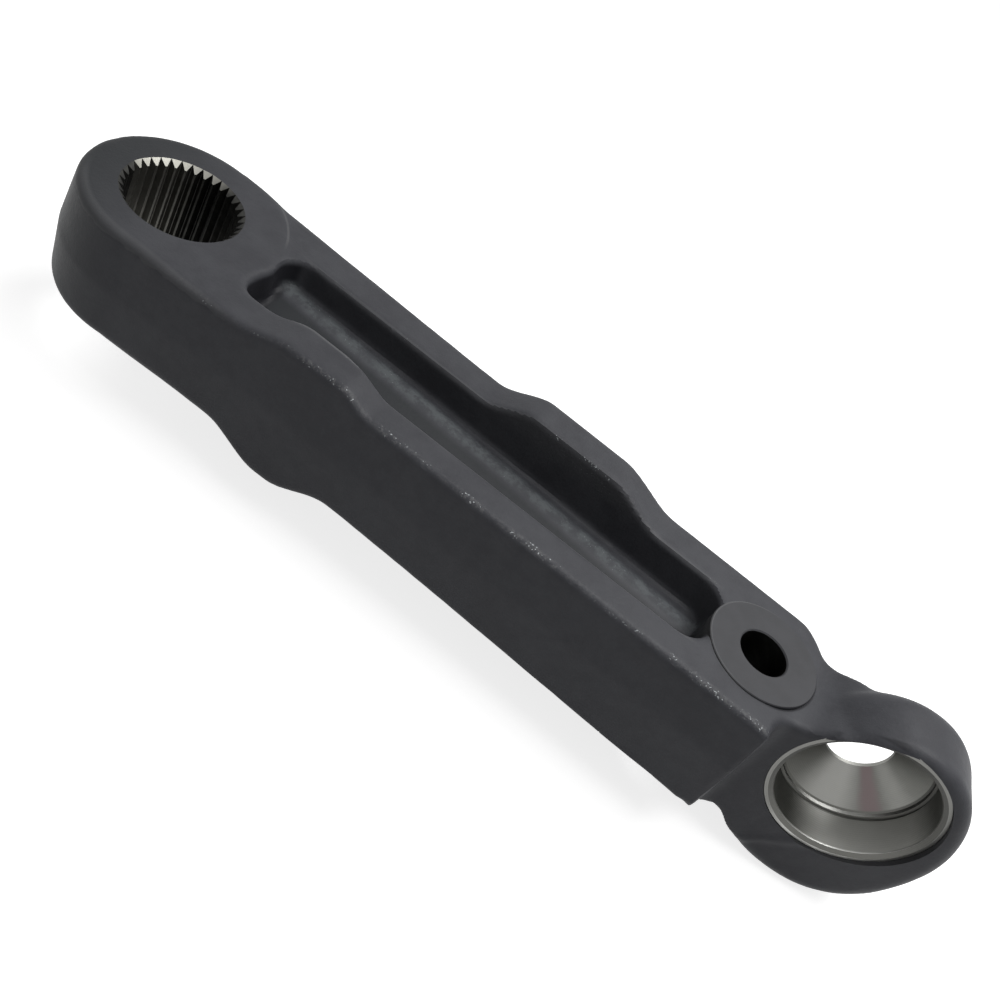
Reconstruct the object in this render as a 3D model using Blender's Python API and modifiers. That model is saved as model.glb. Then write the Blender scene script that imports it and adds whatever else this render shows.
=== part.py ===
"""Upper control arm: a one-piece forged lever with a serrated hub, a pocketed beam and a ball socket.

The model is built in the arm's own frame. Its origin is the middle of the serrated bore, +X runs along
the arm to the ball socket, +Z is the bore's axis and -Y is the side that the socket opens to.
At the end the finished arm is set down with the middle of its underside at the world's origin.
All sizes are in metres.
"""
import math

import bmesh
import bpy
import numpy as np
from mathutils import Matrix, Vector

ARM_NAME = "control_arm"

# Serrated hub
HUB_LENGTH = 0.0572
HUB_MIDDLE_RADIUS = 0.0478
HUB_END_RADIUS = 0.0457
HUB_EDGE_FILLET = 0.0045
SERRATION_COUNT = 36
SERRATION_ROOT_RADIUS = 0.0283
SERRATION_TIP_RADIUS = 0.0258
SERRATION_TIP_SHARE = 0.16
SERRATION_ROOT_SHARE = 0.12
BORE_CHAMFER_RADIUS = 0.0288

# Beam
CENTRE_DISTANCE = 0.3243
BEAM_TOP = 0.0280
BEAM_BOTTOM_HUB_END = 0.0280
BEAM_BOTTOM_LINK_END = 0.0334
BEAM_EDGE_FILLET = 0.0038
SIDE_DRAFT = math.radians(3.0)
TAPER_LENGTH = 0.140
HALF_WIDTH_AT_HUB = 0.0457
HALF_WIDTH_AFTER_TAPER = 0.0406
FAR_HALF_WIDTH_END = 0.0384
END_WALL_BEYOND_LINK = 0.0180
END_CORNER_RADIUS = 0.0070
END_CREASE_RADIUS = 0.0020
END_FAR_BLEND_START = 0.0130

# Raised lengths of the flanges: start and end of the rise, start and end of the fall, height
NEAR_TOP_RISE = (0.069, 0.093, 0.1165, 0.131)
NEAR_TOP_RISE_HEIGHT = 0.0058
NEAR_BOTTOM_RISE = (0.066, 0.098, 0.104, 0.134)
NEAR_BOTTOM_RISE_HEIGHT = 0.0105
FAR_RISE = (0.163, 0.186, 0.234, 0.257)
FAR_RISE_HEIGHT = 0.0086

# Pockets in the top and the underside
POCKET_START = 0.0505
POCKET_END = 0.2998
POCKET_NEAR_HALF_WIDTH = 0.0212
POCKET_FAR_HALF_WIDTH_HUB = 0.0212
POCKET_FAR_HALF_WIDTH_LINK = 0.0180
POCKET_DEPTH_HUB = 0.0145
POCKET_DEPTH_LINK = 0.0190
POCKET_NEAR_HUB_CORNER = 0.0075
POCKET_FAR_HUB_CORNER = 0.0125
POCKET_LINK_CORNERS = 0.0140
POCKET_FLOOR_FILLET = 0.0030
POCKET_DRAFT = math.radians(6.0)

# Link boss
LINK_PAD_RADIUS = 0.0272
LINK_PAD_HEIGHT = 0.0020
LINK_PAD_CHAMFER = 0.0005
LINK_HOLE_RADIUS = 0.0118

# Neck between the beam and the socket ring
NECK_FAR_SWEEP_LENGTH = 0.0195
NECK_FAR = 0.0230
NECK_TOP = 0.0272
NECK_BOTTOM = 0.0350
NECK_NEAR_FILLET = 0.0095
NECK_EDGE_FILLET = 0.0050
NECK_TOP_NEAR_FILLET = 0.0100
NECK_BLEND_LENGTH = 0.0330
NECK_TOP_BLEND_RISE = 0.0115
NECK_BOTTOM_BLEND_DROP = 0.0170
NECK_NEAR_SINK = 0.0045
NECK_FAR_SINK = 0.0100

# Ball socket ring
SOCKET_BEYOND_LINK = 0.0701
SOCKET_FACE_OFFSET = 0.0149
SOCKET_AXIS_HEIGHT = 0.0072
SOCKET_AXIS_TURN = math.radians(10.8)
RING_HALF_WIDTH = 0.0475
RING_HALF_HEIGHT = 0.0561
RING_SHIFT_ALONG = 0.0047
RING_SHIFT_DOWN = 0.0138
RING_TURN = math.radians(-6.5)
RING_PROUD_OF_LIP = 0.0027
RING_DEPTH = 0.0368
RING_FRONT_FILLET = 0.0102
RING_BACK_FILLET = 0.0130
LIP_OUTER_RADIUS = 0.0392
LIP_INNER_RADIUS = 0.0373
SEAT_BORE_MOUTH_RADIUS = 0.0349
SEAT_BORE_END_RADIUS = 0.0339
SEAT_BORE_START_DEPTH = 0.0015
SEAT_BORE_DEPTH = 0.0185
GROOVE_DEPTH = 0.0005
GROOVE_WIDTH = 0.0014
STEP_RADIUS = 0.0332
STEP_CHAMFER = 0.0006
CONE_START_DEPTH = 0.0229
CONE_START_RADIUS = 0.0323
THROAT_RADIUS = 0.0156
THROAT_LENGTH = 0.0020

OVERRUN = 0.010
ROUND_STEPS = 96


def remove_all_objects():
    """Clears the scene that the file opens with."""
    for scene_object in list(bpy.data.objects):
        bpy.data.objects.remove(scene_object, do_unlink=True)


def make_collection(name):
    """Returns a new collection that is linked to the scene."""
    collection = bpy.data.collections.new(name)
    bpy.context.scene.collection.children.link(collection)
    return collection


def object_from_bmesh(mesh_builder, name, collection):
    """Turns a bmesh into an object whose faces point outwards."""
    bmesh.ops.recalc_face_normals(mesh_builder, faces=mesh_builder.faces)
    mesh = bpy.data.meshes.new(name)
    mesh_builder.to_mesh(mesh)
    mesh_builder.free()
    new_object = bpy.data.objects.new(name, mesh)
    collection.objects.link(new_object)
    return new_object


def loft(name, loops, collection):
    """Skins closed loops that have as many points each, and caps the first and the last."""
    builder = bmesh.new()
    rows = [[builder.verts.new(point) for point in loop] for loop in loops]
    count = len(rows[0])
    for row, next_row in zip(rows, rows[1:]):
        for i in range(count):
            j = (i + 1) % count
            builder.faces.new((row[i], row[j], next_row[j], next_row[i]))
    builder.faces.new(rows[0])
    builder.faces.new(rows[-1])
    return object_from_bmesh(builder, name, collection)


def turned(name, profile, collection, steps=ROUND_STEPS):
    """Turns a profile of (radius, height) pairs, given from top to bottom, about Z."""
    builder = bmesh.new()
    points = [builder.verts.new((radius, 0.0, height)) for radius, height in profile]
    for upper, lower in zip(points, points[1:]):
        builder.edges.new((upper, lower))
    mesh = bpy.data.meshes.new(name)
    builder.to_mesh(mesh)
    builder.free()
    turned_object = bpy.data.objects.new(name, mesh)
    collection.objects.link(turned_object)
    screw = turned_object.modifiers.new("turn", "SCREW")
    screw.axis = "Z"
    screw.steps = steps
    screw.render_steps = steps
    screw.use_merge_vertices = True
    screw.merge_threshold = 0.00002
    return turned_object


def arc(centre, radius, start, end, count):
    """Returns points on a circular arc in a plane, angles in degrees, both ends included."""
    angles = np.radians(np.linspace(start, end, count))
    return [(centre[0] + radius * math.cos(a), centre[1] + radius * math.sin(a)) for a in angles]


def smooth_ramp(x, start, end):
    """Goes from 0 at start to 1 at end with no kink at either."""
    share = min(max((x - start) / (end - start), 0.0), 1.0)
    return share * share * (3.0 - 2.0 * share)


def swell(x, stations):
    """Is 1 between the middle two of four stations and 0 outside the outer two."""
    return smooth_ramp(x, stations[0], stations[1]) - smooth_ramp(x, stations[2], stations[3])


def end_wall_x():
    """Returns where the beam's full section ends, past the link hole."""
    return CENTRE_DISTANCE + END_WALL_BEYOND_LINK


def near_half_width(x):
    """Returns the beam's half width at its near flange edge: a taper after the hub, then straight."""
    share = min(x / TAPER_LENGTH, 1.0)
    return HALF_WIDTH_AT_HUB + (HALF_WIDTH_AFTER_TAPER - HALF_WIDTH_AT_HUB) * share


def far_half_width(x):
    """Returns the half width at the far flange edge, which past the link hole sweeps into the neck."""
    if x < TAPER_LENGTH:
        return near_half_width(x)
    blend_start = CENTRE_DISTANCE + END_FAR_BLEND_START
    share = min((x - TAPER_LENGTH) / (blend_start - TAPER_LENGTH), 1.0)
    straight = HALF_WIDTH_AFTER_TAPER + (FAR_HALF_WIDTH_END - HALF_WIDTH_AFTER_TAPER) * share
    swept = smooth_ramp(x, blend_start, blend_start + NECK_FAR_SWEEP_LENGTH)
    return straight + (NECK_FAR - straight) * swept


def bottom_level(x):
    """Returns how far the beam's underside lies below the middle plane."""
    share = min(max((x - TAPER_LENGTH) / (end_wall_x() - TAPER_LENGTH), 0.0), 1.0)
    return BEAM_BOTTOM_HUB_END + (BEAM_BOTTOM_LINK_END - BEAM_BOTTOM_HUB_END) * share


def beam_section(x, side_inset, level_inset):
    """Returns one closed cross-section of the beam at x, drawn in at its sides and at its levels."""
    near = near_half_width(x) - side_inset
    far = far_half_width(x) - side_inset
    near_top = BEAM_TOP + NEAR_TOP_RISE_HEIGHT * swell(x, NEAR_TOP_RISE) - level_inset
    far_top = BEAM_TOP + FAR_RISE_HEIGHT * swell(x, FAR_RISE) - level_inset
    near_bottom = bottom_level(x) + NEAR_BOTTOM_RISE_HEIGHT * swell(x, NEAR_BOTTOM_RISE) - level_inset
    far_bottom = bottom_level(x) + FAR_RISE_HEIGHT * swell(x, FAR_RISE) - level_inset
    r = BEAM_EDGE_FILLET
    bulge = BEAM_TOP * math.tan(SIDE_DRAFT)
    rim_near = POCKET_NEAR_HALF_WIDTH
    rim_far = POCKET_FAR_HALF_WIDTH_LINK
    section = [(-near - bulge, 0.0)]
    section += arc((-near + r, near_top - r), r, 180, 90, 4)
    section += [(-rim_near, near_top), (rim_far, far_top)]
    section += arc((far - r, far_top - r), r, 90, 0, 4)
    section += [(far + bulge, 0.0)]
    section += arc((far - r, -far_bottom + r), r, 0, -90, 4)
    section += [(rim_far, -far_bottom), (-rim_near, -near_bottom)]
    section += arc((-near + r, -near_bottom + r), r, -90, -180, 4)
    return [(x, y, z) for y, z in section]


def rounded_end_inset(x, radius):
    """Returns how far a rounded edge of the end wall has drawn in at x."""
    past = min(max(x - (end_wall_x() - radius), 0.0), radius)
    return radius - math.sqrt(radius * radius - past * past)


def make_beam(collection):
    """Makes the beam from the hub's axis to its end wall, whose edges are rounded."""
    straight_end = end_wall_x() - END_CORNER_RADIUS
    stations = list(np.linspace(0.0, straight_end, 56))
    stations += [straight_end + END_CORNER_RADIUS * math.sin(a) for a in np.radians(np.linspace(20, 80, 6))]
    loops = []
    for x in stations:
        sides = rounded_end_inset(x, END_CREASE_RADIUS)
        levels = rounded_end_inset(x, END_CORNER_RADIUS)
        loops.append(beam_section(x, sides, levels))
    return loft("beam", loops, collection)


def make_hub(collection):
    """Makes the hub: drafted both ways from its middle, with filleted end edges."""
    r = HUB_EDGE_FILLET
    top = HUB_LENGTH / 2
    upper = arc((HUB_END_RADIUS - r, top - r), r, 90, 0, 5)
    profile = [(0.0, top)] + upper + [(HUB_MIDDLE_RADIUS, 0.0)]
    profile += [(radius, -height) for radius, height in reversed(upper)] + [(0.0, -top)]
    return turned("hub", profile, collection)


def pad_profile(radius, top, bottom, chamfer):
    """Returns the profile of a disc with chamfered edges, from top to bottom."""
    return [(0.0, top), (radius - chamfer, top), (radius, top - chamfer),
            (radius, bottom + chamfer), (radius - chamfer, bottom), (0.0, bottom)]


def make_link_pad(collection):
    """Makes the spot-faced pads of the link hole, proud of the top and the underside."""
    top = BEAM_TOP + LINK_PAD_HEIGHT
    bottom = -bottom_level(CENTRE_DISTANCE) - LINK_PAD_HEIGHT
    pad = turned("link_pad", pad_profile(LINK_PAD_RADIUS, top, bottom, LINK_PAD_CHAMFER), collection, 64)
    pad.location.x = CENTRE_DISTANCE
    return pad


def socket_centre():
    """Returns the middle of the socket's lip."""
    return Vector((CENTRE_DISTANCE + SOCKET_BEYOND_LINK, -SOCKET_FACE_OFFSET, SOCKET_AXIS_HEIGHT))


def socket_frame():
    """Returns the socket's placement: its local +Z points out of the mouth, its local Y up."""
    outward = Vector((math.sin(SOCKET_AXIS_TURN), -math.cos(SOCKET_AXIS_TURN), 0.0))
    upward = Vector((0.0, 0.0, 1.0))
    sideways = upward.cross(outward)
    turn = Matrix((sideways, upward, outward)).transposed().to_4x4()
    return Matrix.Translation(socket_centre()) @ turn


def make_ring(collection):
    """Makes the socket ring: a leaning oval drum, taller than wide, with large rounded edges."""
    rows = []
    for draw_in, level in arc((RING_FRONT_FILLET, RING_PROUD_OF_LIP - RING_FRONT_FILLET),
                              RING_FRONT_FILLET, 90, 180, 5):
        rows.append((draw_in, level))
    for draw_in, level in arc((RING_BACK_FILLET, RING_BACK_FILLET - RING_DEPTH),
                              RING_BACK_FILLET, 180, 270, 6):
        rows.append((draw_in, level))
    angles = np.linspace(0.0, 2.0 * math.pi, 64, endpoint=False)
    lean = Matrix.Rotation(RING_TURN, 4, "Z")
    placement = socket_frame() @ Matrix.Translation((RING_SHIFT_ALONG, -RING_SHIFT_DOWN, 0.0)) @ lean
    loops = []
    for draw_in, level in rows:
        loop = []
        for angle in angles:
            sideways = (RING_HALF_WIDTH - draw_in) * math.cos(angle)
            upward = (RING_HALF_HEIGHT - draw_in) * math.sin(angle)
            loop.append(placement @ Vector((sideways, upward, level)))
        loops.append(loop)
    return loft("ring", loops, collection)


def hollow_fillet(distance, radius):
    """Returns how far an inside corner's fillet stands out at a distance from its wall."""
    reach = min(max(radius - distance, 0.0), radius)
    return radius - math.sqrt(radius * radius - reach * reach)


def ring_front_y(x):
    """Returns the y of the plane of the ring's front face at x."""
    centre = socket_centre()
    front = centre.y - RING_PROUD_OF_LIP / math.cos(SOCKET_AXIS_TURN)
    return front - (centre.x - x) * math.tan(SOCKET_AXIS_TURN)


def neck_section(x, blend_start, blend_end):
    """Returns one cross-section of the neck: it flares out of the end wall and sinks into the ring."""
    blend = smooth_ramp(x, blend_start, blend_end)
    near_sink = NECK_NEAR_SINK * smooth_ramp(x, (blend_start + blend_end) / 2, blend_end)
    near = ring_front_y(x) - hollow_fillet(x - end_wall_x(), NECK_NEAR_FILLET) + near_sink
    far = far_half_width(x) - NECK_FAR_SINK * smooth_ramp(x, (2 * blend_start + blend_end) / 3, blend_end)
    top = NECK_TOP + NECK_TOP_BLEND_RISE * blend
    bottom = -NECK_BOTTOM - NECK_BOTTOM_BLEND_DROP * blend
    r = NECK_EDGE_FILLET
    broad = NECK_TOP_NEAR_FILLET
    section = arc((near + broad, top - broad), broad, 180, 90, 6)
    section += arc((far - r, top - r), r, 90, 0, 5)
    section += arc((far - r, bottom + r), r, 0, -90, 5)
    section += arc((near + r, bottom + r), r, -90, -180, 5)
    return [(x, y, z) for y, z in section]


def make_neck(collection):
    """Makes the neck that carries the ring, from inside the beam's end into the ring's wall."""
    start = end_wall_x() - END_CREASE_RADIUS
    end = start + NECK_BLEND_LENGTH
    stations = np.linspace(start, end, 16)
    return loft("neck", [neck_section(x, start, end) for x in stations], collection)


def pocket_outline(inset):
    """Returns the pocket's plan outline, drawn in by inset, with rounded corners."""
    start = POCKET_START + inset
    end = POCKET_END - inset
    near = -POCKET_NEAR_HALF_WIDTH + inset
    far_hub = POCKET_FAR_HALF_WIDTH_HUB - inset
    far_link = POCKET_FAR_HALF_WIDTH_LINK - inset
    smallest = POCKET_FLOOR_FILLET / 5
    tight = max(POCKET_NEAR_HUB_CORNER - inset, smallest)
    wide = max(POCKET_FAR_HUB_CORNER - inset, smallest)
    r = max(POCKET_LINK_CORNERS - inset, smallest)
    outline = arc((start + tight, near + tight), tight, 180, 270, 7)
    outline += arc((end - r, near + r), r, 270, 360, 9)
    outline += arc((end - r, far_link - r), r, 0, 90, 9)
    outline += arc((start + wide, far_hub - wide), wide, 90, 180, 7)
    return outline


def make_pocket_cutter(name, side, collection):
    """Makes the tool for one pocket: a tapering trough with a filleted floor and a rounded rim.

    side is 1 for the top and -1 for the underside.
    """
    def level(x, above_floor):
        share = (x - POCKET_START) / (POCKET_END - POCKET_START)
        depth = POCKET_DEPTH_HUB + (POCKET_DEPTH_LINK - POCKET_DEPTH_HUB) * share
        surface = BEAM_TOP if side > 0 else bottom_level(x)
        return side * (surface - depth + above_floor)

    wall_height = POCKET_DEPTH_LINK + OVERRUN
    floor_rows = arc((POCKET_FLOOR_FILLET, POCKET_FLOOR_FILLET), POCKET_FLOOR_FILLET, 270, 180, 4)
    full_inset = POCKET_DEPTH_HUB * math.tan(POCKET_DRAFT)
    loops = []
    for draw_in, above_floor in floor_rows:
        inset = full_inset - above_floor * math.tan(POCKET_DRAFT) + draw_in
        loops.append([(x, y, level(x, above_floor)) for x, y in pocket_outline(inset)])
    top_inset = full_inset - wall_height * math.tan(POCKET_DRAFT)
    loops.append([(x, y, level(x, wall_height)) for x, y in pocket_outline(top_inset)])
    return loft(name, loops, collection)


def make_serration_cutter(collection):
    """Makes the serrated bore's tool: a star of V grooves, run past both faces."""
    pitch = 2.0 * math.pi / SERRATION_COUNT
    corners = ((-0.5 + SERRATION_TIP_SHARE / 2, SERRATION_TIP_RADIUS),
               (-SERRATION_ROOT_SHARE / 2, SERRATION_ROOT_RADIUS),
               (SERRATION_ROOT_SHARE / 2, SERRATION_ROOT_RADIUS),
               (0.5 - SERRATION_TIP_SHARE / 2, SERRATION_TIP_RADIUS))
    outline = []
    for tooth in range(SERRATION_COUNT):
        for share, radius in corners:
            angle = (tooth + share) * pitch
            outline.append((radius * math.cos(angle), radius * math.sin(angle)))
    reach = HUB_LENGTH / 2 + OVERRUN
    return loft("serration_cutter", [[(x, y, z) for x, y in outline] for z in (-reach, reach)], collection)


def make_chamfer_cutter(name, side, collection):
    """Makes the cone that chamfers one mouth of the serrated bore at 45 degrees."""
    face = HUB_LENGTH / 2
    tip = BORE_CHAMFER_RADIUS - SERRATION_TIP_RADIUS + OVERRUN / 2
    profile = [(0.0, face + OVERRUN), (BORE_CHAMFER_RADIUS + OVERRUN, face + OVERRUN),
               (BORE_CHAMFER_RADIUS, face), (BORE_CHAMFER_RADIUS - tip, face - tip), (0.0, face - tip)]
    if side < 0:
        profile = [(radius, -height) for radius, height in reversed(profile)]
    return turned(name, profile, collection, 72)


def make_link_seat_cutter(collection):
    """Makes the spot facer that clears the neck's web below the underside pad."""
    seat = -bottom_level(CENTRE_DISTANCE) - LINK_PAD_HEIGHT
    profile = [(0.0, seat), (LINK_PAD_RADIUS, seat), (LINK_PAD_RADIUS, seat - 2 * OVERRUN),
               (0.0, seat - 2 * OVERRUN)]
    cutter = turned("link_seat_cutter", profile, collection, 64)
    cutter.location.x = CENTRE_DISTANCE
    return cutter


def make_link_hole_cutter(collection):
    """Makes the drill for the link hole."""
    top = BEAM_TOP + OVERRUN
    bottom = -bottom_level(CENTRE_DISTANCE) - OVERRUN
    profile = [(0.0, top), (LINK_HOLE_RADIUS, top), (LINK_HOLE_RADIUS, bottom), (0.0, bottom)]
    cutter = turned("link_hole_cutter", profile, collection, 48)
    cutter.location.x = CENTRE_DISTANCE
    return cutter


def make_socket_cutter(collection):
    """Makes the socket's boring tool: lip facing, lead-in, seat bore, groove, step, cone and throat."""
    profile = [
        (0.0, OVERRUN),
        (LIP_OUTER_RADIUS, OVERRUN),
        (LIP_OUTER_RADIUS, 0.0),
        (LIP_INNER_RADIUS, 0.0),
        (SEAT_BORE_MOUTH_RADIUS, -SEAT_BORE_START_DEPTH),
        (SEAT_BORE_END_RADIUS, -SEAT_BORE_DEPTH),
        (SEAT_BORE_END_RADIUS + GROOVE_DEPTH, -SEAT_BORE_DEPTH - GROOVE_DEPTH),
        (SEAT_BORE_END_RADIUS + GROOVE_DEPTH, -SEAT_BORE_DEPTH - GROOVE_WIDTH),
        (STEP_RADIUS, -SEAT_BORE_DEPTH - GROOVE_WIDTH - GROOVE_DEPTH),
        (STEP_RADIUS, -CONE_START_DEPTH + STEP_CHAMFER),
        (CONE_START_RADIUS, -CONE_START_DEPTH),
        (THROAT_RADIUS, -RING_DEPTH + THROAT_LENGTH),
        (THROAT_RADIUS, -RING_DEPTH - OVERRUN),
        (0.0, -RING_DEPTH - OVERRUN),
    ]
    cutter = turned("socket_cutter", profile, collection)
    cutter.matrix_world = socket_frame()
    return cutter


def make_painted_steel():
    """Returns the arm's charcoal satin paint."""
    material = bpy.data.materials.new("charcoal_paint")
    material.use_nodes = True
    shader = material.node_tree.nodes["Principled BSDF"]
    shader.inputs["Base Color"].default_value = (0.040, 0.040, 0.044, 1.0)
    shader.inputs["Roughness"].default_value = 0.45
    shader.inputs["Metallic"].default_value = 0.0
    return material


def add_boolean(target, tool, operation):
    """Joins a tool to the target or cuts it out of it, and keeps the tool out of renders."""
    tool.hide_render = True
    tool.display_type = "WIRE"
    modifier = target.modifiers.new(tool.name, "BOOLEAN")
    modifier.operation = operation
    modifier.solver = "EXACT"
    modifier.object = tool


def set_down(arm):
    """Moves the arm and its tools so that its underside's middle is at the world's origin."""
    bpy.context.view_layer.update()
    evaluated = arm.evaluated_get(bpy.context.evaluated_depsgraph_get())
    corners = np.array([vertex.co[:] for vertex in evaluated.data.vertices])
    low = corners.min(axis=0)
    high = corners.max(axis=0)
    shift = Vector((-(low[0] + high[0]) / 2, -(low[1] + high[1]) / 2, -low[2]))
    root = bpy.data.objects.new("arm_frame", None)
    arm.users_collection[0].objects.link(root)
    for part in [arm] + [modifier.object for modifier in arm.modifiers]:
        part.parent = root
    root.location = shift


def main():
    """Builds the arm from its solids and its cutting tools."""
    remove_all_objects()
    parts = make_collection("upper_control_arm")
    tools = make_collection("cutting_tools")
    arm = make_beam(parts)
    arm.name = ARM_NAME
    arm.data.name = ARM_NAME
    arm.data.materials.append(make_painted_steel())
    add_boolean(arm, make_hub(tools), "UNION")
    add_boolean(arm, make_neck(tools), "UNION")
    add_boolean(arm, make_ring(tools), "UNION")
    add_boolean(arm, make_pocket_cutter("top_pocket", 1, tools), "DIFFERENCE")
    add_boolean(arm, make_pocket_cutter("under_pocket", -1, tools), "DIFFERENCE")
    add_boolean(arm, make_link_pad(tools), "UNION")
    add_boolean(arm, make_link_seat_cutter(tools), "DIFFERENCE")
    add_boolean(arm, make_serration_cutter(tools), "DIFFERENCE")
    add_boolean(arm, make_chamfer_cutter("top_chamfer", 1, tools), "DIFFERENCE")
    add_boolean(arm, make_chamfer_cutter("under_chamfer", -1, tools), "DIFFERENCE")
    add_boolean(arm, make_link_hole_cutter(tools), "DIFFERENCE")
    add_boolean(arm, make_socket_cutter(tools), "DIFFERENCE")
    arm.data.shade_smooth()
    arm.data.set_sharp_from_angle(angle=math.radians(30))
    set_down(arm)


main()
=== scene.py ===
"""Looks of the upper control arm: a forged and painted lever with a serrated bore and a bare ball socket.

The forging is one solid, given by a field: a function that is negative inside the metal, zero on its skin and
positive outside, about as far as the skin is away. The field is worked out as whole numpy arrays on a regular
grid, skinned by a surface net, and then machined: the serrated bore, the link hole and the socket are cut
with extruded and turned tools, whose faces carry their own finish. All sizes are in metres, in the arm's own
frame: the origin is the middle of the serrated bore, +X runs along the arm and -Y is the side that the socket
opens to.
"""
import logging
import math
from dataclasses import dataclass, field
from enum import Enum

import bpy
import numpy as np
from mathutils import Matrix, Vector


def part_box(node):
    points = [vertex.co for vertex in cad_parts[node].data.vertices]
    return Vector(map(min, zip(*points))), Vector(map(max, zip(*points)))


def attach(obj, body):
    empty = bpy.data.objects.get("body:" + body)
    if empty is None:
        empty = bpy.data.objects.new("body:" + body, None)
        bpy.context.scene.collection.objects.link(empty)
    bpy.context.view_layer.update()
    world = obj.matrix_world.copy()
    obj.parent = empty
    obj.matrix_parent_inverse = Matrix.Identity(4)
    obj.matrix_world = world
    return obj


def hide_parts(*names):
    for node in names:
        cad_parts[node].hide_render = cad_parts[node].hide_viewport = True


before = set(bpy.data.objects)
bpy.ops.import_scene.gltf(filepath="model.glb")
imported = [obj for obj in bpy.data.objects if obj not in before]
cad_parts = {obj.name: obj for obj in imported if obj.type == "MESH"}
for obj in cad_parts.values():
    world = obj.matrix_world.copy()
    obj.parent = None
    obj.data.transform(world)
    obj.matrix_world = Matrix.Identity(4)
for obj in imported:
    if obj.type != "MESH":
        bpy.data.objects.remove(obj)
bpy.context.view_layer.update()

log = logging.getLogger("control_arm")

Array = np.ndarray
Point = tuple[float, float, float]
Colour = tuple[float, float, float]
Span = tuple[float, float]
Stations = tuple[float, float, float, float]
NODE = "control_arm"
BODY = "root"


class Finish(Enum):
    """The finishes of the arm's faces, in the order of its material slots."""

    FORGED_PAINT = 0
    MACHINED_PAINT = 1
    SERRATION = 2
    TOOTH_CHAMFER = 3
    BARE_EDGE = 4
    GROOVE_STEEL = 5
    BORE_STEEL = 6
    CONE_STEEL = 7
    LIP_STEEL = 8


def ease(x: Array, start: float, end: float) -> Array:
    """Goes from 0 to 1 between start and end along 3t^2 - 2t^3, level at both.

    Args:
        x: where to work it out.
        start: where it leaves 0.
        end: where it reaches 1.

    Returns:
        The eased share at each x.
    """
    share = np.clip((x - start) / (end - start), 0.0, 1.0)
    return share * share * (3.0 - 2.0 * share)


def swell(x: Array, stations: Stations) -> Array:
    """Is 1 between the two inner stations and 0 outside the outer two.

    Args:
        x: where to work it out.
        stations: start and end of the rise, start and end of the fall.

    Returns:
        The share of the swelling's full height at each x.
    """
    return ease(x, stations[0], stations[1]) - ease(x, stations[2], stations[3])


def join(a: Array, b: Array, radius: Array | float) -> Array:
    """Unites two fields with a hollow fillet.

    The formula is max(r, min(a, b)) less the length of (r - a, r - b), each part at least 0.

    Args:
        a: first field.
        b: second field.
        radius: fillet radius, one number or a field of its own.

    Returns:
        The united field.
    """
    inside = np.hypot(np.maximum(radius - a, 0.0), np.maximum(radius - b, 0.0))
    return np.maximum(radius, np.minimum(a, b)) - inside


def meet(a: Array, b: Array, radius: Array | float) -> Array:
    """Intersects two fields with a rounded edge.

    The formula is min(-r, max(a, b)) plus the length of (r + a, r + b), each part at least 0.

    Args:
        a: first field.
        b: second field.
        radius: radius of the edge, one number or a field of its own.

    Returns:
        The field of what both hold.
    """
    outside = np.hypot(np.maximum(radius + a, 0.0), np.maximum(radius + b, 0.0))
    return np.minimum(-radius, np.maximum(a, b)) + outside


@dataclass(frozen=True)
class SampleGrid:
    """A regular grid of points round the arm, on which the forging's field is worked out."""

    low: Point
    high: Point
    pitch: float

    def axis(self, index: int) -> Array:
        """Returns the places along one axis, shaped to spread over the whole grid."""
        count = int(math.ceil((self.high[index] - self.low[index]) / self.pitch)) + 1
        places = self.low[index] + self.pitch * np.arange(count)
        shape = [1, 1, 1]
        shape[index] = count
        return places.reshape(shape)

    def facing_radius(self, a: Array, b: Array, radius: float) -> Array:
        """Shrinks a fillet radius where two skins run alongside each other, so that they don't swell there.

        The radius is multiplied by 1 less the cosine of the angle between the two fields' slopes, 1 at most.

        Args:
            a: first field.
            b: second field.
            radius: the radius where the skins stand square to each other.

        Returns:
            The radius at each point of the grid.
        """
        slopes_a = np.gradient(a, self.pitch)
        slopes_b = np.gradient(b, self.pitch)
        dot = sum(u * v for u, v in zip(slopes_a, slopes_b))
        lengths = np.sqrt(sum(u * u for u in slopes_a) * sum(v * v for v in slopes_b)) + 1e-9
        return radius * np.clip(1.0 - dot / lengths, 0.0, 1.0)


@dataclass(frozen=True)
class Hub:
    """The drum round the serrated bore, drafted both ways from its middle."""

    length: float = 0.0572
    middle_radius: float = 0.0478
    end_radius: float = 0.0457
    top_edge: float = 0.0036
    under_edge: float = 0.0062
    raised_radius: float = 0.0490
    raised_height: float = 0.0006
    step_short: float = 0.0010
    step_long: float = 0.0060
    step_turn: float = 0.75
    step_spread: float = 0.5

    def raised_share(self, x: Array, y: Array) -> Array:
        """Is 1 on the raised face and 0 past its step, which is short on the far side and long elsewhere."""
        aside = (np.arctan2(y, x) - self.step_turn) / self.step_spread
        width = self.step_long + (self.step_short - self.step_long) * np.exp(-aside ** 2)
        return 1.0 - ease((np.hypot(x, y) - self.raised_radius) / width, -1.0, 1.0)

    def wall(self, x: Array, y: Array, z: Array) -> Array:
        """Returns the distance outside the drum's wall, a double cone about Z."""
        narrowing = (self.middle_radius - self.end_radius) * np.abs(z) / (self.length / 2)
        return np.hypot(x, y) - self.middle_radius + narrowing


@dataclass(frozen=True)
class Profile:
    """A level or a width along the arm: straight lines between stations, softened over a short stretch."""

    stations: tuple[float, ...]
    values: tuple[float, ...]
    softening: int = 9

    def at(self, x: Array) -> Array:
        """Returns the value at each x of a grid axis, averaged over the softening's number of neighbours."""
        line = np.interp(x.ravel(), self.stations, self.values)
        padded = np.pad(line, self.softening // 2, mode="edge")
        window = np.full(self.softening, 1.0 / self.softening)
        return np.convolve(padded, window, mode="valid").reshape(x.shape)


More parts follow.
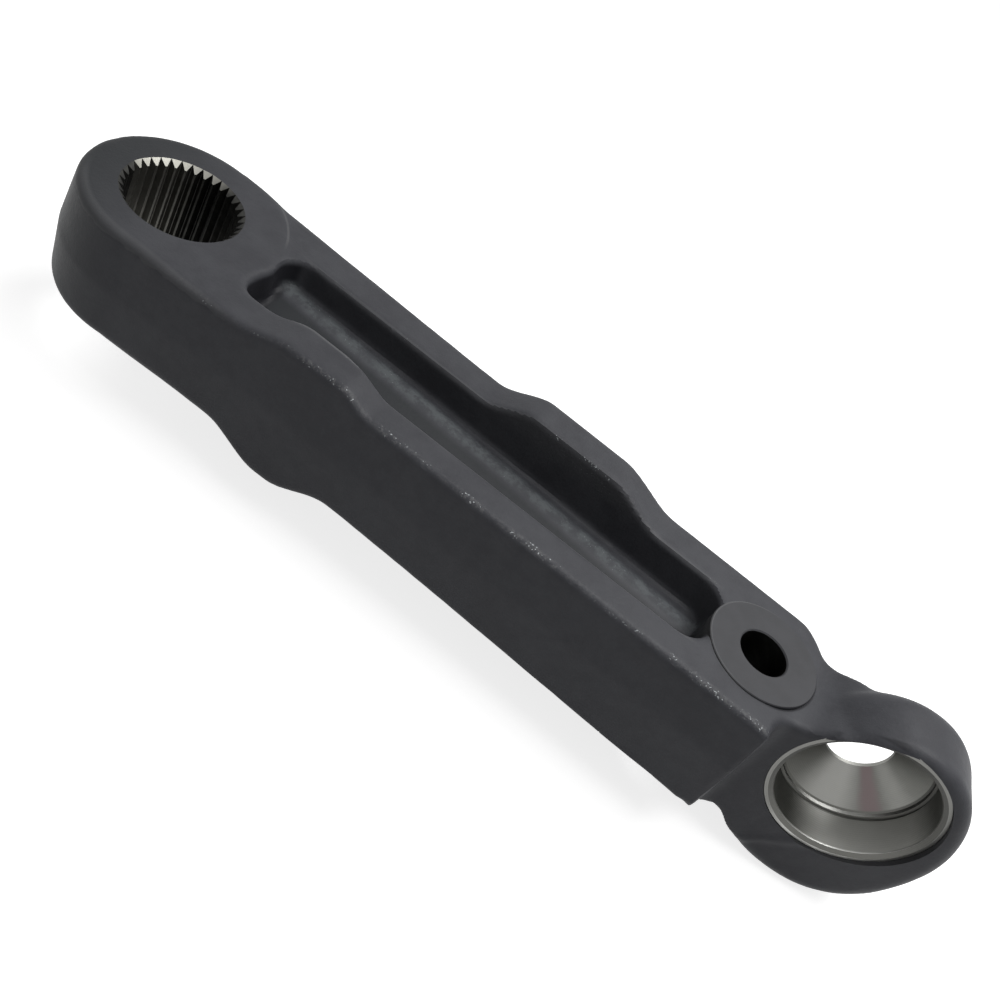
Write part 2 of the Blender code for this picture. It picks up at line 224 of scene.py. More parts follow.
@dataclass(frozen=True)
class Beam:
    """The flanged beam from the hub to the link boss, and the neck that carries it on into the ring."""

    edge: float = 0.0036
    under_edge: float = 0.0014
    under_edge_span: Span = (0.170, 0.310)
    end_wall: float = 0.3423
    end_edge: float = 0.0075
    end_edge_span: Stations = (0.3330, 0.3420, 0.3425, 0.3460)
    end_crease: float = 0.0022
    neck_start: float = 0.3300
    neck_corner: float = 0.0095
    draft: float = math.radians(3.0)
    top: float = 0.0280
    slope_start: float = 0.140
    bottom_hub: float = 0.0280
    bottom_link: float = 0.0334
    near_width: Profile = Profile((0.0, 0.030, 0.048, 0.070, 0.140, 0.345),
                                  (0.0454, 0.0450, 0.0436, 0.0426, 0.0406, 0.0406))
    far_width: Profile = Profile(
        (0.0, 0.013, 0.031, 0.069, 0.105, 0.141, 0.265, 0.333, 0.338, 0.3425, 0.346, 0.3485, 0.351, 0.3555,
         0.360, 0.366, 0.372, 0.380, 0.396),
        (0.0463, 0.0461, 0.0443, 0.0428, 0.0417, 0.0406, 0.0391, 0.0384, 0.0381, 0.0358, 0.0328, 0.0298,
         0.0272, 0.0248, 0.0232, 0.0217, 0.0186, 0.0150, 0.0140), 3)
    neck_rise: Profile = Profile(
        (0.334, 0.350, 0.356, 0.360, 0.364, 0.368, 0.377, 0.396),
        (0.0, -0.0012, 0.0002, 0.0022, 0.0046, 0.0070, 0.0109, 0.0120), 3)
    neck_drop: Profile = Profile(
        (0.333, 0.3385, 0.3425, 0.347, 0.351, 0.354, 0.358, 0.363, 0.368, 0.373, 0.380, 0.396),
        (0.0, 0.0010, 0.0060, 0.0094, 0.0074, 0.0070, 0.0088, 0.0136, 0.0170, 0.0172, 0.0080, -0.0060), 3)
    near_top_rise: Stations = (0.064, 0.090, 0.1145, 0.133)
    near_top_height: float = 0.0058
    near_under_rise: Stations = (0.066, 0.098, 0.104, 0.134)
    near_under_height: float = 0.0105
    far_rise: Stations = (0.158, 0.186, 0.226, 0.262)
    far_height: float = 0.0097
    flange_split: float = 0.012

    def bulge(self, z: Array) -> Array:
        """Returns how far the drafted side walls stand out at z beyond their flange edges."""
        return math.tan(self.draft) * np.maximum(self.top - np.abs(z), 0.0)

    def plan(self, x: Array, y: Array, z: Array, behind_front: Array, end: float) -> Array:
        """Returns the distance outside the plan of beam and neck.

        The near boundary is the beam's wall and end wall, joined by a hollow corner to the ring's front
        plane.

        Args:
            x: places along the arm.
            y: places across it.
            z: places up it.
            behind_front: distance in front of the ring's front plane, negative behind it.
            end: where the neck ends, inside the ring.

        Returns:
            The plan's field.
        """
        near = meet(-y - self.near_width.at(x) - self.bulge(z), x - self.end_wall, self.end_crease)
        neck = np.maximum(behind_front, self.neck_start - x)
        near = join(near, neck, self.neck_corner)
        far = y - self.far_width.at(x) - self.bulge(z) * (1.0 - ease(x, self.neck_start, self.end_wall))
        return np.maximum(np.maximum(near, far), np.maximum(-x, x - end))

    def near_share(self, y: Array) -> Array:
        """Returns 1 on the near flange and 0 on the far one."""
        return 1.0 - ease(y, -self.flange_split, self.flange_split)

    def top_level(self, x: Array, y: Array) -> Array:
        """Returns the level of the upper face: flat, with a swelling on each flange, rising into the ring."""
        near = self.near_share(y)
        rises = near * self.near_top_height * swell(x, self.near_top_rise)
        rises = rises + (1.0 - near) * self.far_height * swell(x, self.far_rise)
        return self.top + self.neck_rise.at(x) + rises

    def plain_under(self, x: Array | float) -> Array | float:
        """Returns how deep the lower face lies below the middle plane, without swellings or neck."""
        share = np.clip((x - self.slope_start) / (self.end_wall - self.slope_start), 0.0, 1.0)
        return self.bottom_hub + (self.bottom_link - self.bottom_hub) * share

    def under_level(self, x: Array, y: Array) -> Array:
        """Returns how deep the lower face lies below the middle plane."""
        near = self.near_share(y)
        rises = near * self.near_under_height * swell(x, self.near_under_rise)
        rises = rises + (1.0 - near) * self.far_height * swell(x, self.far_rise)
        return self.plain_under(x) + self.neck_drop.at(x) + rises


@dataclass(frozen=True)
class Pocket:
    """The trough in the beam's face, with drafted walls, a ridged floor and a rounded rim."""

    start: float = 0.0505
    end: float = 0.2998
    near: float = -0.0214
    far_hub: float = 0.0212
    far_link: float = 0.0180
    near_hub_corner: float = 0.0075
    far_hub_corner: float = 0.0125
    link_corners: float = 0.0140
    depth_hub: float = 0.0145
    depth_link: float = 0.0190
    draft: float = math.radians(6.0)
    floor_fillet: float = 0.0024
    hub_bulge: float = 0.0015
    hub_bulge_width: float = 0.0060
    near_wave: float = 0.0020
    near_wave_span: Stations = (0.072, 0.086, 0.104, 0.120)
    near_rim: float = 0.0034
    far_rim: float = 0.0022
    ridge_hub: float = 0.0150
    ridge_link: float = 0.0064
    ridge_fall: float = math.radians(11.0)
    ridge_height: float = 0.0006
    ridge_width: float = 0.0022
    ridge_reach: float = 0.014
    rim_blend: float = 0.004

    def share(self, x: Array) -> Array:
        """Returns how far along the pocket each x lies, from 0 at the hub's end to 1 at the link's."""
        return np.clip((x - self.start) / (self.end - self.start), 0.0, 1.0)

    def plan(self, x: Array, y: Array) -> Array:
        """Returns the distance outside the plan outline: a tapering box with three radii at its corners.

        The hub's end bulges a little into the pocket, and so does the near side along the flange's swelling.

        Args:
            x: places along the arm.
            y: places across it.

        Returns:
            The plan's field.
        """
        far = self.far_hub + (self.far_link - self.far_hub) * self.share(x)
        near = self.near + self.near_wave * swell(x, self.near_wave_span)
        along = x - (self.start + self.end) / 2
        across = y - (far + near) / 2
        hub_corner = np.where(across < 0.0, self.near_hub_corner, self.far_hub_corner)
        radius = np.where(along < 0.0, hub_corner, self.link_corners)
        bulge = np.where(along < 0.0, self.hub_bulge * np.exp(-(y / self.hub_bulge_width) ** 2), 0.0)
        past_end = np.abs(along) - (self.end - self.start) / 2 + radius + bulge
        past_side = np.abs(across) - (far - near) / 2 + radius
        outside = np.hypot(np.maximum(past_end, 0.0), np.maximum(past_side, 0.0))
        return np.minimum(np.maximum(past_end, past_side), 0.0) + outside - radius

    def ridge(self, x: Array) -> Array:
        """Returns where the floor's ridge runs, on the far side of the middle."""
        return self.ridge_hub + (self.ridge_link - self.ridge_hub) * self.share(x)

    def floor(self, x: Array, y: Array, surface: Array | float) -> Array:
        """Returns the floor's level: sloping along the arm, and falling from a low ridge to the near side."""
        level = surface - self.depth_hub - (self.depth_link - self.depth_hub) * self.share(x)
        short_of_ridge = self.ridge(x) - y
        fall = math.tan(self.ridge_fall) * np.clip(short_of_ridge, 0.0, self.ridge_reach)
        crest = self.ridge_height * np.exp(-((short_of_ridge / self.ridge_width) ** 2))
        return level - fall + crest

    def rim(self, y: Array) -> Array:
        """Returns the rim's rounding, wider on the near flange."""
        return self.near_rim + (self.far_rim - self.near_rim) * ease(y, -self.rim_blend, self.rim_blend)

    def void(self, x: Array, y: Array, height: Array, surface: Array | float, boss: Array) -> Array:
        """Returns the pocket's own field, negative in the space that it leaves open.

        Args:
            x: places along the arm.
            y: places across it.
            height: distance from the middle plane, positive towards the pocket's mouth.
            surface: level of the face that the pocket is sunk into, without its swellings.
            boss: distance outside the link boss, which stands in the pocket's end.

        Returns:
            The field of the open space.
        """
        walls = self.plan(x, y) + (surface - height) * math.tan(self.draft)
        trough = meet(walls, self.floor(x, y, surface) - height, self.floor_fillet)
        return meet(trough, -boss, self.floor_fillet / 2)


@dataclass(frozen=True)
class LinkBoss:
    """The spot-faced boss and its plain hole."""

    centre: float = 0.3243
    radius: float = 0.0272
    height: float = 0.0007
    chamfer: float = 0.0004
    hole_radius: float = 0.0118
    hole_chamfer: float = 0.0006


@dataclass(frozen=True)
class SocketRing:
    """The leaning oval drum that holds the ball socket."""

    beyond_link: float = 0.0701
    face_offset: float = 0.0149
    axis_height: float = 0.0072
    axis_turn: float = math.radians(10.8)
    half_width: float = 0.0469
    half_height: float = 0.0561
    shift_along: float = 0.0047
    shift_down: float = 0.0138
    lean: float = math.radians(-6.5)
    proud: float = 0.0019
    proud_outboard: float = 0.034
    fall_back: float = 0.020
    fall_softness: float = 0.012
    low_squareness: float = 0.34
    low_trim: float = 0.0004
    depth: float = 0.0368
    front_edge: float = 0.0084
    front_edge_top: float = -0.0020
    front_edge_span: Span = (0.010, 0.036)
    back_edge: float = 0.0130

    def centre(self, link: float) -> Array:
        """Returns the middle of the socket's lip."""
        return np.array([link + self.beyond_link, -self.face_offset, self.axis_height])

    def directions(self) -> tuple[Array, Array, Array]:
        """Returns the ring's own sideways, upward and outward directions."""
        outward = np.array([math.sin(self.axis_turn), -math.cos(self.axis_turn), 0.0])
        upward = np.array([0.0, 0.0, 1.0])
        return np.cross(upward, outward), upward, outward

    def local(self, x: Array, y: Array, z: Array, link: float) -> tuple[Array, Array, Array]:
        """Returns how far points lie sideways, upward and outward of the lip's middle."""
        centre = self.centre(link)
        sideways, _, outward = self.directions()
        across = (x - centre[0]) * sideways[0] + (y - centre[1]) * sideways[1]
        out = (x - centre[0]) * outward[0] + (y - centre[1]) * outward[1]
        return across, z - centre[2], out

    def front(self, across: Array, up: Array, out: Array) -> Array:
        """Returns the distance in front of the face, which leans sideways and falls back up and down."""
        fall = self.fall_back * np.hypot(up, self.fall_softness)
        return out - self.proud - self.proud_outboard * across + fall

    def solid(self, across: Array, up: Array, out: Array) -> Array:
        """Returns the drum's field: an oval's distance, met by the front and the back plane.

        The oval is (|u/a|^p + |v/b|^p)^(1/p) = 1, an ellipse with p = 2 above and a little squarer below.

        Args:
            across: distance sideways of the lip's middle.
            up: distance above it.
            out: distance in front of it.

        Returns:
            The drum's field.
        """
        along = across - self.shift_along
        rise = up + self.shift_down
        u = along * math.cos(self.lean) + rise * math.sin(self.lean)
        v = rise * math.cos(self.lean) - along * math.sin(self.lean)
        low = ease(-v, 0.0, self.half_height / 2)
        power = 2.0 + self.low_squareness * low
        half_height = self.half_height - self.low_trim * low
        scaled = (np.abs(u / self.half_width) ** power + np.abs(v / half_height) ** power) ** (1.0 / power)
        slope = np.hypot(u / self.half_width ** 2, v / self.half_height ** 2) + 1e-9
        oval = scaled * (scaled - 1.0) / slope
        front_edge = self.front_edge + self.front_edge_top * ease(up, *self.front_edge_span)
        face = meet(oval, self.front(across, up, out), front_edge)
        return meet(face, -out - self.depth, self.back_edge)


@dataclass(frozen=True)
class SkinWave:
    """The slight unevenness that forging leaves, as a sum of slow sine waves that only takes metal away."""

    height: float = 0.00024
    lengths: tuple[float, ...] = (0.031, 0.019, 0.0117, 0.0073)

    def depth(self, x: Array, y: Array, z: Array) -> Array:
        """Returns how far the skin is sunk at each point, from 0 to about the height."""
        total = 0.0
        for i, length in enumerate(self.lengths):
            k = 2.0 * math.pi / length
            turn = 1.7 + 2.3 * i
            wave = np.sin(k * (x * math.cos(turn) + y * math.sin(turn)) + turn)
            wave = wave * np.sin(k * (y * math.cos(turn + 1.0) + z * math.sin(turn + 1.0)) + 2 * turn)
            total = total + wave / (i + 1)
        return self.height * np.maximum(0.6 + 0.25 * total, 0.0)


@dataclass
class Forging:
    """The forged blank, before any machining, as one field on a grid."""

    hub: Hub = field(default_factory=Hub)
    beam: Beam = field(default_factory=Beam)
    pocket: Pocket = field(default_factory=Pocket)
    boss: LinkBoss = field(default_factory=LinkBoss)
    ring: SocketRing = field(default_factory=SocketRing)
    wave: SkinWave = field(default_factory=SkinWave)
    ring_fillet: float = 0.0090
    hub_edge_span: Span = (0.02, 0.09)
    boss_inset: float = 0.0004
    pitch: float = 0.0015

    def grid(self) -> SampleGrid:
        """Returns a grid that reaches three steps past the forging on every side."""
        margin = 3 * self.pitch
        centre = self.ring.centre(self.boss.centre)
        low = (-self.hub.middle_radius - margin, -self.hub.middle_radius - margin,
               centre[2] - self.ring.shift_down - self.ring.half_height - margin)
        high = (centre[0] + self.ring.shift_along + self.ring.half_width + margin,
                self.hub.middle_radius + margin,
                centre[2] - self.ring.shift_down + self.ring.half_height + margin)
        return SampleGrid(low, high, self.pitch)

    def lever(self, x: Array, y: Array, z: Array, front: Array) -> Array:
        """Returns hub, beam and neck as one field: their joined plan, met by the upper and the lower face."""
        beam, hub = self.beam, self.hub
        end = self.ring.centre(self.boss.centre)[0]
        plan = np.minimum(beam.plan(x, y, z, front, end), hub.wall(x, y, z))
        raised = hub.raised_height * hub.raised_share(x, y)
        near_hub = 1.0 - ease(x, *self.hub_edge_span)
        top_edge = beam.edge + (hub.top_edge - beam.edge) * near_hub
        at_end = swell(x, beam.end_edge_span)
        under_edge = beam.edge + (beam.under_edge - beam.edge) * ease(x, *beam.under_edge_span)
        under_edge = under_edge + (hub.under_edge - beam.edge) * near_hub
        under_edge = under_edge + (beam.end_edge - beam.under_edge) * at_end
        upper = meet(plan, z - beam.top_level(x, y) - raised, top_edge)
        return meet(upper, -z - beam.under_level(x, y) - raised, under_edge)

    def sampled(self) -> tuple[SampleGrid, Array]:
        """Works out the whole forging.

        Returns:
            The grid, and the field at each of its points.
        """
        grid = self.grid()
        x, y, z = (grid.axis(i) for i in range(3))
        across, up, out = self.ring.local(x, y, z, self.boss.centre)
        lever = self.lever(x, y, z, self.ring.front(across, up, out))
        ring = self.ring.solid(across, up, out)
        solid = join(lever, ring, grid.facing_radius(lever, ring, self.ring_fillet))
        boss = np.hypot(x - self.boss.centre, y) - (self.boss.radius - self.boss_inset)
        upper = self.pocket.void(x, y, z, self.beam.top, boss)
        lower = self.pocket.void(x, y, -z, self.beam.plain_under(x), boss)
        solid = meet(solid, -np.minimum(upper, lower), self.pocket.rim(y))
        return grid, solid + self.wave.depth(x, y, z)


@dataclass
class SurfaceNet:
    """Skins the zero level of a field with one vertex in each cell that the skin crosses."""

    grid: SampleGrid
    values: Array
    rounds: int = 4
    returns: int = 2
    least_slope: float = 0.05

    def sample(self, array: Array, points: Array) -> Array:
        """Reads a grid's values between its points, by the product of the three straight shares."""
        low = np.array(self.grid.low)
        place = (points - low) / self.grid.pitch
        limit = np.array(array.shape) - 2
        base = np.clip(np.floor(place).astype(int), 0, limit)
        share = place - base
        total = np.zeros(len(points))
        for corner in range(8):
            step = np.array([(corner >> 2) & 1, (corner >> 1) & 1, corner & 1])
            weight = np.prod(np.where(step, share, 1.0 - share), axis=1)
            at = base + step
            total += weight * array[at[:, 0], at[:, 1], at[:, 2]]
        return total

    def slopes(self, points: Array, reach: float) -> Array:
        """Returns the field's slope at points, from differences over a short reach each way."""
        columns = []
        for axis in range(3):
            step = np.zeros(3)
            step[axis] = reach
            ahead = self.sample(self.values, points + step)
            behind = self.sample(self.values, points - step)
            columns.append((ahead - behind) / (2 * reach))
        return np.stack(columns, axis=1)

    def crossing_points(self) -> tuple[Array, Array]:
        """Places one vertex in each crossed cell, at the mean of the points where the skin cuts its edges.

        Returns:
            The vertices, and an array that gives each cell's vertex or -1.
        """
        f = self.values
        cells = np.array(f.shape) - 1
        total = np.zeros((3, *cells))
        count = np.zeros(cells)
        for axis in range(3):
            others = [a for a in range(3) if a != axis]
            for first in (0, 1):
                for second in (0, 1):
                    offset = [0, 0, 0]
                    offset[others[0]] = first
                    offset[others[1]] = second
                    start = f[tuple(slice(o, o + c) for o, c in zip(offset, cells))]
                    offset[axis] = 1
                    end = f[tuple(slice(o, o + c) for o, c in zip(offset, cells))]
                    crossed = (start < 0) != (end < 0)
                    share = np.where(crossed, start / np.where(crossed, start - end, 1.0), 0.0)
                    total[axis] += share
                    total[others[0]] += crossed * first
                    total[others[1]] += crossed * second
                    count += crossed
        active = count > 0
        index = np.full(cells, -1)
        index[active] = np.arange(int(active.sum()))
        inside_cell = np.stack([t[active] for t in total], axis=1) / count[active][:, None]
        places = np.argwhere(active) + inside_cell
        return np.array(self.grid.low) + places * self.grid.pitch, index

    def quads(self, index: Array) -> Array:
        """Returns one quad round each grid edge that the skin crosses, turned to face outwards."""
        f = self.values
        faces = []
        for axis in range(3):
            others = [a for a in range(3) if a != axis]
            low = [slice(1, -1)] * 3
            high = [slice(1, -1)] * 3
            low[axis] = slice(0, -1)
            high[axis] = slice(1, None)
            start, end = f[tuple(low)] < 0, f[tuple(high)] < 0
            at = np.argwhere(start != end)
            leaving = start[tuple(at.T)]
            at[:, others[0]] += 1
            at[:, others[1]] += 1
            ring = []
            for first, second in ((1, 1), (0, 1), (0, 0), (1, 0)):
                cell = at.copy()
                cell[:, others[0]] -= first
                cell[:, others[1]] -= second
                ring.append(index[tuple(cell.T)])
            quad = np.stack(ring, axis=1)
            flip = leaving if axis == 1 else ~leaving
            quad[flip] = quad[flip][:, ::-1]
            faces.append(quad)
        return np.concatenate(faces)

    def relaxed(self, points: Array, quads: Array) -> Array:
        """Evens out the vertices: each moves halfway to its neighbours' mean and is put back on the skin.

        A point goes back by field times slope over the slope's square, a few times a round.

        Args:
            points: the vertices.
            quads: the faces.

        Returns:
            The moved vertices.
        """
        first, second = np.concatenate([quads[:, [i, (i + 1) % 4]] for i in range(4)]).T
        degree = np.bincount(first, minlength=len(points))[:, None]
        for _ in range(self.rounds):
            sums = [np.bincount(first, weights=column[second], minlength=len(points)) for column in points.T]
            points = 0.5 * points + 0.5 * np.stack(sums, axis=1) / degree
            for _ in range(self.returns):
                slope = self.slopes(points, self.grid.pitch / 2)
                size = np.maximum((slope * slope).sum(axis=1, keepdims=True), self.least_slope)
                points = points - self.sample(self.values, points)[:, None] * slope / size
        return points

    def skin(self) -> tuple[Array, Array]:
        """Returns the skin's vertices and quads."""
        points, index = self.crossing_points()
        quads = self.quads(index)
        return self.relaxed(points, quads), quads


@dataclass(frozen=True)
class Placement:
    """Where a tool's own +Z axis lies in the arm's frame."""

    centre: Array
    sideways: Array
    upward: Array
    outward: Array

    def put(self, points: Array) -> Array:
        """Moves points given as sideways, upward and outward distances into the arm's frame."""
        return self.centre + points @ np.stack([self.sideways, self.upward, self.outward])


def along_z(x: float) -> Placement:
    """Returns a placement on the arm's own Z direction, at x along the arm."""
    return Placement(np.array([x, 0.0, 0.0]), *np.eye(3))


@dataclass
class MeshBuilder:
    """Turns arrays of vertices and faces into Blender objects in the world's frame."""

    origin: Array
    finishes: list[bpy.types.Material]

    def build(self, name: str, points: Array, faces: list[Array],
              finishes: Array | None = None) -> bpy.types.Object:
        """Makes one mesh object.

        Args:
            name: the object's name.
            points: vertices in the arm's frame.
            faces: arrays of faces, each with its own number of corners.
            finishes: the finish of each face, forged paint when left out.

        Returns:
            The new object, linked to the scene.
        """
        mesh = bpy.data.meshes.new(name)
        counts = np.concatenate([np.full(len(f), f.shape[1]) for f in faces])
        corners = np.concatenate([f.ravel() for f in faces])
        mesh.vertices.add(len(points))
        mesh.vertices.foreach_set("co", (points + self.origin).astype(np.float32).ravel())
        mesh.loops.add(len(corners))
        mesh.loops.foreach_set("vertex_index", corners.astype(np.int32))
        mesh.polygons.add(len(counts))
        starts = np.concatenate([[0], np.cumsum(counts)[:-1]])
        mesh.polygons.foreach_set("loop_start", starts.astype(np.int32))
        for material in self.finishes:
            mesh.materials.append(material)
        if finishes is not None:
            mesh.polygons.foreach_set("material_index", finishes.astype(np.int32))
        mesh.update(calc_edges=True)
        mesh.validate()
        made = bpy.data.objects.new(name, mesh)
        bpy.context.scene.collection.objects.link(made)
        return made

    def turned(self, name: str, profile: list[tuple[float, float, Finish]], at: Placement,
               steps: int) -> bpy.types.Object:
        """Turns a profile about a placement's outward axis: (r cos a, r sin a, height) for each angle a.

        Args:
            name: the object's name.
            profile: radius, height and the finish of the band below it, from the top down. The first and
                the last point lie on the axis.
            at: the placement.
            steps: how many flats a full turn has.

        Returns:
            The closed, turned object.
        """
        radii = np.array([p[0] for p in profile[1:-1]])
        heights = np.array([p[1] for p in profile[1:-1]])
        angles = np.linspace(0.0, 2.0 * math.pi, steps, endpoint=False)
        rings = np.stack([radii[:, None] * np.cos(angles), radii[:, None] * np.sin(angles),
                          np.repeat(heights[:, None], steps, axis=1)], axis=-1)
        tips = [[0.0, 0.0, profile[i][1]] for i in (0, -1)]
        points = np.concatenate([rings.reshape(-1, 3), tips])
        grid = np.arange(len(radii) * steps).reshape(len(radii), steps)
        after = np.roll(grid, -1, axis=1)
        quads = np.stack([grid[:-1], grid[1:], after[1:], after[:-1]], axis=-1).reshape(-1, 4)
        top = np.stack([np.full(steps, grid.size), grid[0], after[0]], axis=1)
        bottom = np.stack([np.full(steps, grid.size + 1), after[-1], grid[-1]], axis=1)
        bands = np.repeat([p[2].value for p in profile[1:-2]], steps)
        caps = np.concatenate([np.full(steps, profile[0][2].value), np.full(steps, profile[-2][2].value)])
        return self.build(name, at.put(points), [quads, np.concatenate([top, bottom])],
                          np.concatenate([bands, caps]))

    def extruded(self, name: str, outline: Array, low: float, high: float,
                 finish: Finish) -> bpy.types.Object:
        """Extrudes a closed outline in X and Y from low to high along Z.

        Args:
            name: the object's name.
            outline: corners in order, counter-clockwise seen from above.
            low: level of the lower end.
            high: level of the upper end.
            finish: the finish of every face.

        Returns:
            The closed prism.
        """
        count = len(outline)
        points = np.concatenate([np.column_stack([outline, np.full(count, level)]) for level in (low, high)])
        base = np.arange(count)
        after = np.roll(base, -1)
        sides = np.stack([base, after, after + count, base + count], axis=1)
        caps = np.stack([base[::-1], base + count])
        return self.build(name, points, [sides, caps], np.full(count + 2, finish.value))


@dataclass
class Machining:
    """The cuts that turn the forging into the finished arm, each with the finish that it leaves."""

    maker: MeshBuilder
    forging: Forging
    teeth: int = 36
    root_radius: float = 0.0284
    tip_radius: float = 0.0258
    tip_share: float = 0.20
    root_share: float = 0.06
    mouth_radius: float = 0.0286
    lip_outer: float = 0.0392
    lip_inner: float = 0.0373
    bore_mouth: float = 0.0349
    bore_end: float = 0.0339
    bore_start_depth: float = 0.0015
    bore_depth: float = 0.0185
    groove: float = 0.0005
    groove_width: float = 0.0014
    step_radius: float = 0.0332
    step_chamfer: float = 0.0006
    cone_depth: float = 0.0229
    cone_radius: float = 0.0323
    edge_break: float = 0.0003
    throat_radius: float = 0.0156
    throat_length: float = 0.0020
    seat_clearance: float = 0.0003
    overrun: float = 0.010
    mouth_flats: int = 144
    pad_flats: int = 128
    drill_flats: int = 96
    socket_flats: int = 256

    def pad_levels(self) -> tuple[float, float]:
        """Returns the levels of the link boss's upper and lower face."""
        beam, boss = self.forging.beam, self.forging.boss
        return beam.top + boss.height, -beam.plain_under(boss.centre) - boss.height

    def serrations(self) -> bpy.types.Object:
        """Makes the star-shaped prism that leaves V teeth in the bore."""
        pitch = 2.0 * math.pi / self.teeth
        shares = np.array([-0.5 + self.tip_share / 2, -self.root_share / 2, self.root_share / 2,
                           0.5 - self.tip_share / 2])
        radii = np.array([self.tip_radius, self.root_radius, self.root_radius, self.tip_radius])
        angles = ((np.arange(self.teeth)[:, None] + shares) * pitch).ravel()
        lengths = np.tile(radii, self.teeth)
        outline = np.column_stack([lengths * np.cos(angles), lengths * np.sin(angles)])
        reach = self.forging.hub.length / 2 + self.overrun
        return self.maker.extruded("serration_tool", outline, -reach, reach, Finish.SERRATION)

    def mouth_cone(self, side: int) -> bpy.types.Object:
        """Makes the 45 degree cone that chamfers one mouth of the bore; side is 1 above and -1 below."""
        face = self.forging.hub.length / 2
        tip = self.mouth_radius - self.tip_radius + self.overrun / 2
        edge = Finish.TOOTH_CHAMFER
        profile = [
            (0.0, face + self.overrun, edge),
            (self.mouth_radius + self.overrun, face + self.overrun, edge),
            (self.mouth_radius - tip, face - tip, edge),
            (0.0, face - tip, edge),
        ]
        at = along_z(0.0)
        if side < 0:
            at = Placement(at.centre, at.sideways, -at.upward, -at.outward)
        where = "top" if side > 0 else "under"
        return self.maker.turned(f"mouth_cone_{where}", profile, at, self.mouth_flats)

    def boss_pads(self) -> bpy.types.Object:
        """Makes the spot-faced disc whose two faces stand proud of the beam."""
        boss = self.forging.boss
        top, bottom = self.pad_levels()
        paint = Finish.MACHINED_PAINT
        profile = [
            (0.0, top, paint),
            (boss.radius - boss.chamfer, top, paint),
            (boss.radius, top - boss.chamfer, paint),
            (boss.radius, bottom + boss.chamfer, paint),
            (boss.radius - boss.chamfer, bottom, paint),
            (0.0, bottom, paint),
        ]
        return self.maker.turned("boss_pads", profile, along_z(boss.centre), self.pad_flats)

    def seat_facer(self) -> bpy.types.Object:
        """Makes the tool that clears the neck's web below the under pad."""
        boss = self.forging.boss
        _, seat = self.pad_levels()
        below = seat - 2 * self.overrun
        radius = boss.radius + self.seat_clearance
        paint = Finish.MACHINED_PAINT
        profile = [(0.0, seat, paint), (radius, seat, paint), (radius, below, paint), (0.0, below, paint)]
        return self.maker.turned("seat_facer", profile, along_z(boss.centre), self.pad_flats)

    def link_drill(self) -> bpy.types.Object:
        """Makes the drill for the link hole, with a small chamfer at both mouths."""
        boss = self.forging.boss
        top, bottom = self.pad_levels()
        wall, edge = Finish.SERRATION, Finish.MACHINED_PAINT
        wide = boss.hole_radius + boss.hole_chamfer + self.overrun
        profile = [
            (0.0, top + self.overrun, edge),
            (wide, top + self.overrun, edge),
            (boss.hole_radius, top - boss.hole_chamfer, wall),
            (boss.hole_radius, bottom + boss.hole_chamfer, edge),
            (wide, bottom - self.overrun, edge),
            (0.0, bottom - self.overrun, edge),
        ]
        return self.maker.turned("link_drill", profile, along_z(boss.centre), self.drill_flats)

    def socket_tool(self) -> bpy.types.Object:
        """Makes the socket's boring tool: lip facing, lead-in, seat bore, groove, cone and throat."""
        ring = self.forging.ring
        lip, paint, edge = Finish.LIP_STEEL, Finish.MACHINED_PAINT, Finish.BARE_EDGE
        bore, groove, cone = Finish.BORE_STEEL, Finish.GROOVE_STEEL, Finish.CONE_STEEL
        after = self.bore_depth + self.groove_width
        profile = [
            (0.0, self.overrun, lip),
            (self.lip_outer, self.overrun, paint),
            (self.lip_outer, -self.edge_break, edge),
            (self.lip_outer - self.edge_break, 0.0, lip),
            (self.lip_inner, 0.0, groove),
            (self.bore_mouth + self.edge_break, -self.bore_start_depth + self.edge_break, edge),
            (self.bore_mouth, -self.bore_start_depth - self.edge_break, bore),
            (self.bore_end, -self.bore_depth, groove),
            (self.bore_end + self.groove, -self.bore_depth - self.groove, groove),
            (self.bore_end + self.groove, -after, groove),
            (self.step_radius, -after - self.groove, lip),
            (self.step_radius, -self.cone_depth + self.step_chamfer, groove),
            (self.cone_radius, -self.cone_depth, cone),
            (self.throat_radius, -ring.depth + self.throat_length, bore),
            (self.throat_radius, -ring.depth - self.overrun, bore),
            (0.0, -ring.depth - self.overrun, bore),
        ]
        at = Placement(ring.centre(self.forging.boss.centre), *ring.directions())
        return self.maker.turned("socket_tool", profile, at, self.socket_flats)

    def machine(self, blank: bpy.types.Object) -> None:
        """Joins the pads to the blank and takes every cut, then removes the tools.

        Args:
            blank: the forging's object, which becomes the finished arm.
        """
        steps = [
            (self.boss_pads(), "UNION"),
            (self.seat_facer(), "DIFFERENCE"),
            (self.serrations(), "DIFFERENCE"),
            (self.mouth_cone(1), "DIFFERENCE"),
            (self.mouth_cone(-1), "DIFFERENCE"),
            (self.link_drill(), "DIFFERENCE"),
            (self.socket_tool(), "DIFFERENCE"),
        ]
        for tool, operation in steps:
            modifier = blank.modifiers.new(tool.name, "BOOLEAN")
            modifier.operation = operation
            modifier.solver = "EXACT"
            modifier.object = tool
        graph = bpy.context.evaluated_depsgraph_get()
        finished = bpy.data.meshes.new_from_object(blank.evaluated_get(graph), depsgraph=graph)
        blank.modifiers.clear()
        blank.data = finished
        for tool, _ in steps:
            bpy.data.objects.remove(tool, do_unlink=True)
        log.info("machined arm: %d faces", len(finished.polygons))


